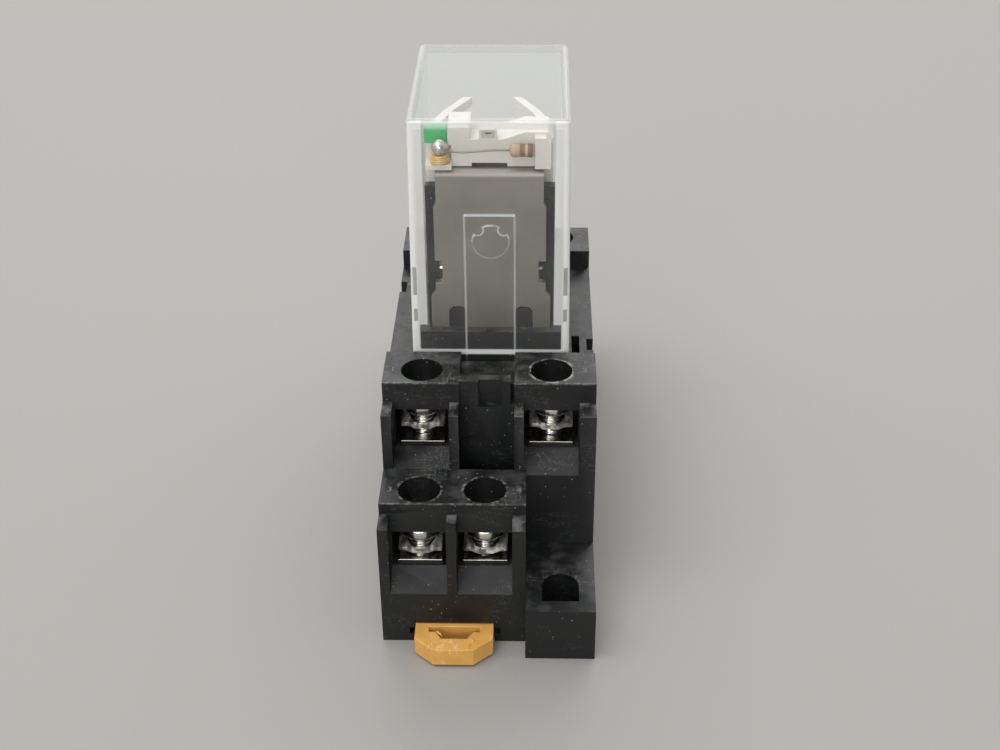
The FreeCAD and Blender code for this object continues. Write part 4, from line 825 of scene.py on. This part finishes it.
# A clamp screw, in millimetres: its neck above its tip, its collar below the neck, its shank's radius,
# where its thread starts, and the half length and half width of its cross recess.
NECK_HEIGHT = 6.4
COLLAR_DROP = 1.1
SHANK_RADIUS = 1.7
THREAD_START = 0.4
RECESS_ARM = 1.77
RECESS_HALF = 0.45

# The screw's profile as radii and heights in millimetres, from its collar, its neck and its top, and
# its recess as shares of the full size and heights from the top.
COLLAR_PROFILE = ((2.15, 0), (2.2, 0.06), (2.15, 0.24), (1.62, 0.34), (1.55, 0.6), (1.7, 0.85))
NECK_PROFILE = ((2.1, 0.15), (2.5, 0.6), (2.6, 0.8))
TOP_PROFILE = ((2.6, -0.5), (2.5, -0.25), (2.3, -0.08), (2.0, 0))
RECESS_PROFILE = ((1.06, 0), (1.0, -0.08), (0.86, -1.0), (0.5, -1.2))

# Rings of vertices to a turn of the thread, and how far each screw stands turned past the one before.
THREAD_RINGS = 6
SCREW_TURN = 0.9


class RELAY_OT_screws(bpy.types.Operator):
    """The eight clamp screws, each with its thread, flared head and cross recess"""

    bl_idname = "relay.screws"
    bl_label = "Clamp screws"

    def execute(self, context):
        settings = context.scene.relay_sizes
        for number in TERMINALS:
            self.screw(number, settings.pitch, settings.thread_depth)
        return {"FINISHED"}

    def screw(self, number, pitch, depth):
        node = "terminal_screw_%d" % number
        low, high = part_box(node)
        axis = (low + high) / 2
        tip, top = low.z, high.z
        neck = tip + NECK_HEIGHT * MM
        seat = neck - COLLAR_DROP * MM
        root = SHANK_RADIUS * MM - depth

        def thread(height):
            def station(angle):
                phase = ((height - tip) / pitch - angle / FULL_TURN) % 1
                ridge = max(0.0, 1 - abs(phase - 0.5) * 2.6)
                fade = min(1.0, (height - tip) / (0.8 * MM), (seat - height) / (0.3 * MM))
                return root + depth * ridge * max(0.0, fade), height
            return station

        def recess(size, height):
            def station(angle):
                c = max(abs(math.cos(angle)), 1e-6)
                s = max(abs(math.sin(angle)), 1e-6)
                arm = RECESS_ARM * MM * size
                half = RECESS_HALF * MM * size
                return max(min(arm / c, half / s), min(arm / s, half / c)), height
            return station

        start = tip + THREAD_START * MM
        rows = int((seat - tip - THREAD_START * MM) / (pitch / THREAD_RINGS))
        stations = [level(root - 0.5 * MM, tip), level(root, tip + 0.35 * MM)]
        stations += [thread(start + i * pitch / THREAD_RINGS) for i in range(rows)]
        stations.append(level(root, seat))
        for foot, profile in ((seat, COLLAR_PROFILE), (neck, NECK_PROFILE), (top, TOP_PROFILE)):
            stations += [level(radius * MM, foot + height * MM) for radius, height in profile]
        stations += [recess(size, top + height * MM) for size, height in RECESS_PROFILE]
        bm = rings(axis, stations, self.angles())
        turn = Matrix.Rotation(SCREW_TURN * number, 4, "Z")
        spin = Matrix.Translation(axis) @ turn @ Matrix.Translation(-axis)
        bmesh.ops.transform(bm, matrix=spin, verts=bm.verts)
        piece(bm, "screw_%d" % number, node, smooth=50, nodes=(node,))

    def angles(self):
        """Angles round a screw, with one on every corner of its cross recess."""
        corner = math.atan2(RECESS_HALF, RECESS_ARM)
        quarter = [-corner, -corner / 2, 0, corner / 2, corner, 0.44, 0.62, math.pi / 4, 0.95, 1.13]
        return sorted((a + q * math.pi / 2) % FULL_TURN for q in range(4) for a in quarter)


class RELAY_OT_washers(bpy.types.Operator):
    """The captive saddle washers with upswept wings, and the tinned clamp plates under them"""

    bl_idname = "relay.washers"
    bl_label = "Washers and plates"

    def execute(self, context):
        fine = context.scene.relay_sizes.fine_edge
        for number in TERMINALS:
            self.washer("clamp_washer_%d" % number, number)
            eased("terminal_plate_%d" % number, fine)
            eased("blade_clip_%d" % number, fine / 2)
        return {"FINISHED"}

    def washer(self, node, number):
        low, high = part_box(node)
        axis = (low + high) / 2
        half = (high.x - low.x) / 2
        depth = (high.y - low.y) / 2
        lift = 0.02 * MM
        thick = 0.57 * MM
        rise = 0.6 * MM
        hole = 1.95 * MM
        squareness = 14
        waist = 0.12
        wing_start, wing_bend = 0.25, 0.72

        def outline(angle):
            """A rounded oblong, waisted in front and behind like a bow."""
            c, s = abs(math.cos(angle)), abs(math.sin(angle))
            reach = 1 / ((c / half) ** squareness + (s / depth) ** squareness) ** (1 / squareness)
            return reach * (1 - waist * s ** 8)

        def wing(x):
            share = abs(x) / half
            if share < wing_start:
                return 0.0
            if share < wing_bend:
                t = (share - wing_start) / (wing_bend - wing_start)
                return rise * t * t * (3 - 2 * t)
            t = (share - wing_bend) / (1 - wing_bend)
            return rise * (1 - 0.35 * t * t)

        def ring(share, above):
            def station(angle):
                radius = hole + (outline(angle) - hole) * share
                return radius, low.z + lift + wing(radius * math.cos(angle)) + above
            return station

        shares = (0.0, 0.12, 0.3, 0.5, 0.7, 0.88, 0.97)
        stations = [ring(s, thick) for s in shares] + [ring(1.0, thick * 0.8), ring(1.0, thick * 0.2)]
        stations += [ring(s, 0.0) for s in reversed(shares)]
        bm = rings(axis, stations, even(56), closed=True)
        piece(bm, "washer_%d" % number, node, "pressed_steel", smooth=55, nodes=(node,))


class RELAY_OT_cover(bpy.types.Operator):
    """The clear dust cover, whose finish paints highlights on its edges, raised panel and gate mark"""

    bl_idname = "relay.cover"
    bl_label = "Dust cover"

    def execute(self, context):
        eased("relay_cover", context.scene.relay_sizes.cover_edge, "cover", angle=25)
        return {"FINISHED"}


# The coil former's catch, in millimetres: its front face along Y, then its grey square and the dark slit in
# it, which is a black sheet of painted shade, as left, right, bottom, top and how far it stands out.
LATCH_FACE = -10.6
LATCH_SQUARE = (-1.0, 0.75, 61.72, 62.7, 0.03)
LATCH_SLIT_SHADE = (-0.5, 0.3, 62.3, 62.45, 0.05)


class RELAY_OT_magnet(bpy.types.Operator):
    """The relay's base, yoke, core, armature and coil former"""

    bl_idname = "relay.magnet"
    bl_label = "Magnet"

    def execute(self, context):
        fine = context.scene.relay_sizes.fine_edge
        for node in ("relay_base", "yoke", "armature", "bobbin", "contact_carrier"):
            eased(node, fine * (1.5 if node in ("bobbin", "yoke") else 1))
        eased("core", 0, angle=40)
        self.latch("latch", LATCH_SQUARE, "latch_grey")
        # Painted shade: a black sheet stands for the dark of the slit.
        self.latch("latch_slit", LATCH_SLIT_SHADE, "black_moulding")
        return {"FINISHED"}

    def latch(self, name, sizes, shade):
        """A thin block on the face of the coil former's catch."""
        left, right, bottom, top, out = sizes
        bm = block((left, LATCH_FACE - out, bottom), (right, LATCH_FACE + out, top))
        piece(bm, name, "bobbin", shade)


# A turn of the coil's wire: shares of its pace, and depths under the outer radius in millimetres.
COIL_TURN = ((0.05, 0.12), (0.3, 0.01), (0.7, 0.01), (0.95, 0.12))


class RELAY_OT_coil(bpy.types.Operator):
    """The wound coil, with its turns of enamelled wire"""

    bl_idname = "relay.coil"
    bl_label = "Coil"

    def execute(self, context):
        low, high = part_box("coil_winding")
        axis = (low + high) / 2
        outer = (high.x - low.x) / 2
        inner = 3.62 * MM
        shoulder = outer - 0.1 * MM
        turns = int((high.z - low.z) / context.scene.relay_sizes.wire)
        pace = (high.z - low.z) / turns
        stations = [level(inner, low.z), level(shoulder, low.z)]
        for i in range(turns):
            base = low.z + i * pace
            wander = min(0, 0.06 * MM * noise.noise(Vector((i * 0.37, 1.5, 0))))
            for share, depth in COIL_TURN:
                stations.append(level(outer - depth * MM + wander, base + share * pace))
        stations += [level(shoulder, high.z), level(inner, high.z)]
        bm = rings(axis, stations, even(64), closed=True)
        piece(bm, "coil_turns", "coil_winding", smooth=60, nodes=("coil_winding",))
        return {"FINISHED"}


class RELAY_OT_contacts(bpy.types.Operator):
    """The blades, the fixed and moving contacts and the copper braids"""

    bl_idname = "relay.contacts"
    bl_label = "Contacts"

    def execute(self, context):
        fine = context.scene.relay_sizes.fine_edge
        for side in ("left", "right"):
            for kind in ("open_contact", "closed_contact", "common_blade", "coil_blade"):
                eased("%s_%s" % (kind, side), fine)
            eased("moving_contact_" + side, 0.03 * MM)
            self.braid("braid_" + side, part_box("moving_contact_" + side)[0].z)
        return {"FINISHED"}

    def braid(self, node, leaf_end):
        """Strands twisted along the braid's run and rise, and up to the moving leaf."""
        low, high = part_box(node)
        sign = 1 if low.x > 0 else -1
        outer = (high.x if sign > 0 else low.x) - sign * 0.6 * MM
        inner = (low.x if sign > 0 else high.x) + sign * 0.75 * MM
        bottom = low.z + 0.4 * MM
        back = high.y - 0.4 * MM
        top = high.z - 0.42 * MM
        route = curved([(outer, low.y + 0.1 * MM, bottom), (outer, (low.y + back) / 2, bottom + 0.05 * MM),
                        (outer, back - 0.6 * MM, bottom + 0.1 * MM), (outer, back, bottom + 0.9 * MM),
                        (outer, back, top - 0.8 * MM), (outer - sign * 0.35 * MM, back, top),
                        (inner + sign * 0.2 * MM, back, top + 0.35 * MM), (inner, back, top + 1.1 * MM),
                        (inner, back, leaf_end + 0.8 * MM)], 9)
        strands = 3
        twist = 0.55
        bm = bmesh.new()
        for strand in range(strands):
            line = []
            for number, point in enumerate(route):
                ahead = heading(route, number)
                side_way = ahead.cross(Vector((0.3, 0.2, 1))).normalized()
                up_way = ahead.cross(side_way).normalized()
                turn = number * twist + strand * FULL_TURN / strands
                line.append(point + 0.17 * MM * (math.cos(turn) * side_way + math.sin(turn) * up_way))
            tube(bm, line, 0.21 * MM, 8)
        bend = (BODY_OF[node], BODY_OF["armature"], (0, 0, top - 2 * MM), (0, 0, leaf_end))
        piece(bm, node + "_strands", node, smooth=60, nodes=(node,), bend=bend)


# The resistor's body: its two ends along X in millimetres, and its profile as shares of its length
# and radius.
RESISTOR_SPAN = (2.65, 5.85)
RESISTOR_PROFILE = ((0.0, 0.3), (0.04, 0.72), (0.12, 0.96), (0.22, 1.0), (0.3, 0.92), (0.5, 0.9),
                    (0.7, 0.92), (0.78, 1.0), (0.88, 0.98), (0.97, 0.8), (1.0, 0.3))

# The corners of the small shelf under the coil's post, in millimetres.
SHELF = ((-8.25, -11.9, 57.7), (-4.85, -9.7, 58.5))


class RELAY_OT_indicator(bpy.types.Operator):
    """The green lamp, the banded resistor with its lead, and the soldered end of the coil wire"""

    bl_idname = "relay.indicator"
    bl_label = "Indicator"

    def execute(self, context):
        eased("indicator_lamp", context.scene.relay_sizes.lamp_edge, segments=3)
        self.resistor()
        self.post("coil_post")
        return {"FINISHED"}

    def resistor(self):
        low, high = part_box("resistor")
        y = (low.y + high.y) / 2
        z = (low.z + high.z) / 2
        radius = (high.z - low.z) / 2
        start, end = (x * MM for x in RESISTOR_SPAN)
        stations = [level(radius * r, start + (end - start) * t) for t, r in RESISTOR_PROFILE]
        bm = rings(Vector((0, 0, 0)), stations, even(32))
        lay = Matrix.Translation((0, y, z)) @ Matrix.Rotation(math.pi / 2, 4, "Y")
        bmesh.ops.transform(bm, matrix=lay, verts=bm.verts)
        piece(bm, "resistor_body", "resistor", smooth=60, nodes=("resistor",))
        bm = bmesh.new()
        lead = curved([(low.x + 0.05 * MM, y - 0.05 * MM, z - 0.1 * MM),
                       (-3.4 * MM, y - 0.2 * MM, z - 0.22 * MM),
                       (0.2 * MM, y - 0.1 * MM, z + 0.02 * MM), (start + 0.1 * MM, y, z)], 8)
        tube(bm, lead, 0.12 * MM, 10)
        piece(bm, "resistor_lead", "resistor", "plated_iron", smooth=60)

    def post(self, node):
        """A lumpy ball of solder on an upright post, over turns of copper wire on a small shelf."""
        low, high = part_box(node)
        axis = (low + high) / 2
        ball = 1.12 * MM
        wire = 0.13 * MM
        bm = bmesh.new()
        bmesh.ops.create_icosphere(bm, subdivisions=4, radius=1.0)
        for v in bm.verts:
            way = v.co.normalized()
            lump = 0.97 + 0.05 * noise.noise(way * 2.1 + axis * 900)
            v.co = Vector((axis.x, axis.y, high.z - ball)) + ball * lump * way
        piece(bm, node + "_solder", node, "solder", smooth=80, nodes=(node,))
        self.turns(node, axis, low.z + 0.75 * MM, (high.x - low.x) / 2 - wire - 0.02 * MM, wire)
        shelf = piece(block(*SHELF), node + "_shelf", "bobbin")
        soften(shelf, 0.1 * MM)

    def turns(self, node, axis, foot, reach, wire):
        """Turns of wire round the post, and the lacquer between them."""
        step = 0.26 * MM
        turns = 4
        sides = 24
        bm = bmesh.new()
        points = []
        for i in range(turns * sides + 1):
            angle = FULL_TURN * i / sides
            share = i / (turns * sides)
            out = reach * (0.86 + 0.14 * math.sin(math.pi * min(1, 0.25 + share)))
            place = (axis.x + out * math.cos(angle), axis.y + out * math.sin(angle), foot + step * i / sides)
            points.append(place)
        tube(bm, points, wire, 8)
        stations = [level(reach * 0.85, foot), level(reach, foot + step),
                    level(reach * 0.85, foot + turns * step)]
        rings(axis, stations, even(24), bm=bm)
        piece(bm, node + "_wire", node, "enamel", smooth=60)


# The lamps, named after the settings of their power: place, target, and width and height in metres.
LAMPS = {
    "key": ((-0.35, -0.25, 0.95), (0, 0, 0), (0.9, 0.8)),
    "back": ((0.05, 0.85, 0.62), (0, 0, 0.02), (1.3, 0.55)),
    "front": ((-0.15, -0.95, 0.45), (0, 0, 0.03), (0.9, 0.4)),
    "strip": ((-0.22, -0.7, 0.2), (0, -0.02, 0.02), (0.1, 0.45)),
}

# The camera: focal length in pixels of a frame 1000 wide, tilts in degrees, place in millimetres, and
# the width of its sensor in millimetres.
CAMERA_FOCUS = 1514.4
FRAME_WIDTH = 1000
CAMERA_PITCH = 32.443
CAMERA_YAW = -1.556
CAMERA_ROLL = -0.480
CAMERA_PLACE = (6.04, -190.98, 140.33)
SENSOR_WIDTH = 36


class RELAY_OT_stage(bpy.types.Operator):
    """The floor, the lamps, the surrounding light and the camera"""

    bl_idname = "relay.stage"
    bl_label = "Stage"

    def execute(self, context):
        settings = context.scene.relay_stage
        self.floor(settings.floor)
        for name, (where, target, size) in LAMPS.items():
            self.lamp(name, where, target, size, getattr(settings, name))
        self.surroundings(context.scene, settings)
        context.scene.view_settings.view_transform = "Standard"
        self.camera(context.scene)
        return {"FINISHED"}

    def surroundings(self, scene, settings):
        """Light from all round, dim in front and bright overhead and behind."""
        world = bpy.data.worlds.new("surroundings")
        sky = Nodes(world)
        place = sky.node("TexCoord", output="Generated")
        inputs = {0: place, 1: (0.0, 0.75, 0.66)}
        lean = sky.node("VectorMath", {"operation": "DOT_PRODUCT"}, inputs, output="Value")
        inputs = {"Value": lean, "From Min": -0.55, "From Max": 0.6}
        inputs.update({"To Min": settings.sky_front, "To Max": settings.sky})
        light = sky.tree.nodes["Background"].inputs
        sky.feed(light["Strength"], sky.node("MapRange", {"interpolation_type": "SMOOTHSTEP"}, inputs))
        sky.feed(light["Color"], (1.0, 1.0, 0.985))
        scene.world = world

    def floor(self, shade):
        bm = bmesh.new()
        bmesh.ops.create_grid(bm, x_segments=8, y_segments=8, size=1.5)
        mesh = bpy.data.meshes.new("floor")
        bm.to_mesh(mesh)
        bm.free()
        floor = placed("floor", mesh)
        made = Finish("floor")
        made.set(Roughness=0.55, Base_Color=shade)
        mesh.materials.append(made.material)

    def lamp(self, name, where, target, size, energy):
        light = bpy.data.lights.new(name, "AREA")
        light.shape = "RECTANGLE"
        light.size, light.size_y = size
        light.energy = energy
        holder = placed(name, light)
        holder.location = where
        holder.rotation_euler = (Vector(target) - Vector(where)).to_track_quat("-Z", "Y").to_euler()

    def camera(self, scene):
        """A camera at the photograph's height, tilt and distance."""
        pitch, yaw, roll = (math.radians(a) for a in (CAMERA_PITCH, CAMERA_YAW, CAMERA_ROLL))
        ahead = Vector((math.sin(yaw) * math.cos(pitch), math.cos(yaw) * math.cos(pitch), -math.sin(pitch)))
        side = Vector((math.cos(yaw), -math.sin(yaw), 0))
        top = side.cross(ahead)
        right = math.cos(roll) * side + math.sin(roll) * top
        up = -math.sin(roll) * side + math.cos(roll) * top
        lens = bpy.data.cameras.new("camera")
        lens.sensor_width = SENSOR_WIDTH
        lens.lens = CAMERA_FOCUS * SENSOR_WIDTH / FRAME_WIDTH
        lens.clip_start = 0.01
        lens.clip_end = 10
        holder = placed("camera", lens)
        turn = Matrix((right, up, -ahead)).transposed().to_4x4()
        holder.matrix_world = Matrix.Translation(Vector(CAMERA_PLACE) * MM) @ turn
        scene.camera = holder


class RELAY_PT_panel(bpy.types.Panel):
    bl_idname = "RELAY_PT_panel"
    bl_label = "Relay with socket"
    bl_space_type = "VIEW_3D"
    bl_region_type = "UI"
    bl_category = "Relay"

    def draw(self, context):
        column = self.layout.column()
        for operator in OPERATORS:
            column.operator(operator.bl_idname)
        for name in SETTINGS:
            group = getattr(context.scene, name)
            for setting in group.__annotations__:
                column.prop(group, setting)


OPERATORS = (RELAY_OT_stage, RELAY_OT_housing, RELAY_OT_slider, RELAY_OT_screws, RELAY_OT_washers,
             RELAY_OT_cover, RELAY_OT_magnet, RELAY_OT_coil, RELAY_OT_contacts, RELAY_OT_indicator)
SETTINGS = {"relay_sizes": SizeSettings, "relay_finishes": FinishSettings, "relay_stage": StageSettings}
CLASSES = (*SETTINGS.values(), *OPERATORS, RELAY_PT_panel)


def register():
    for kind in CLASSES:
        bpy.utils.register_class(kind)
    for name, group in SETTINGS.items():
        setattr(bpy.types.Scene, name, bpy.props.PointerProperty(type=group))


def unregister():
    for name in SETTINGS:
        delattr(bpy.types.Scene, name)
    for kind in reversed(CLASSES):
        bpy.utils.unregister_class(kind)


def main():
    """Makes the stage and every piece in turn."""
    register()
    for operator in OPERATORS:
        group, name = operator.bl_idname.split(".")
        getattr(getattr(bpy.ops, group), name)()


if __name__ == "__main__":
    main()
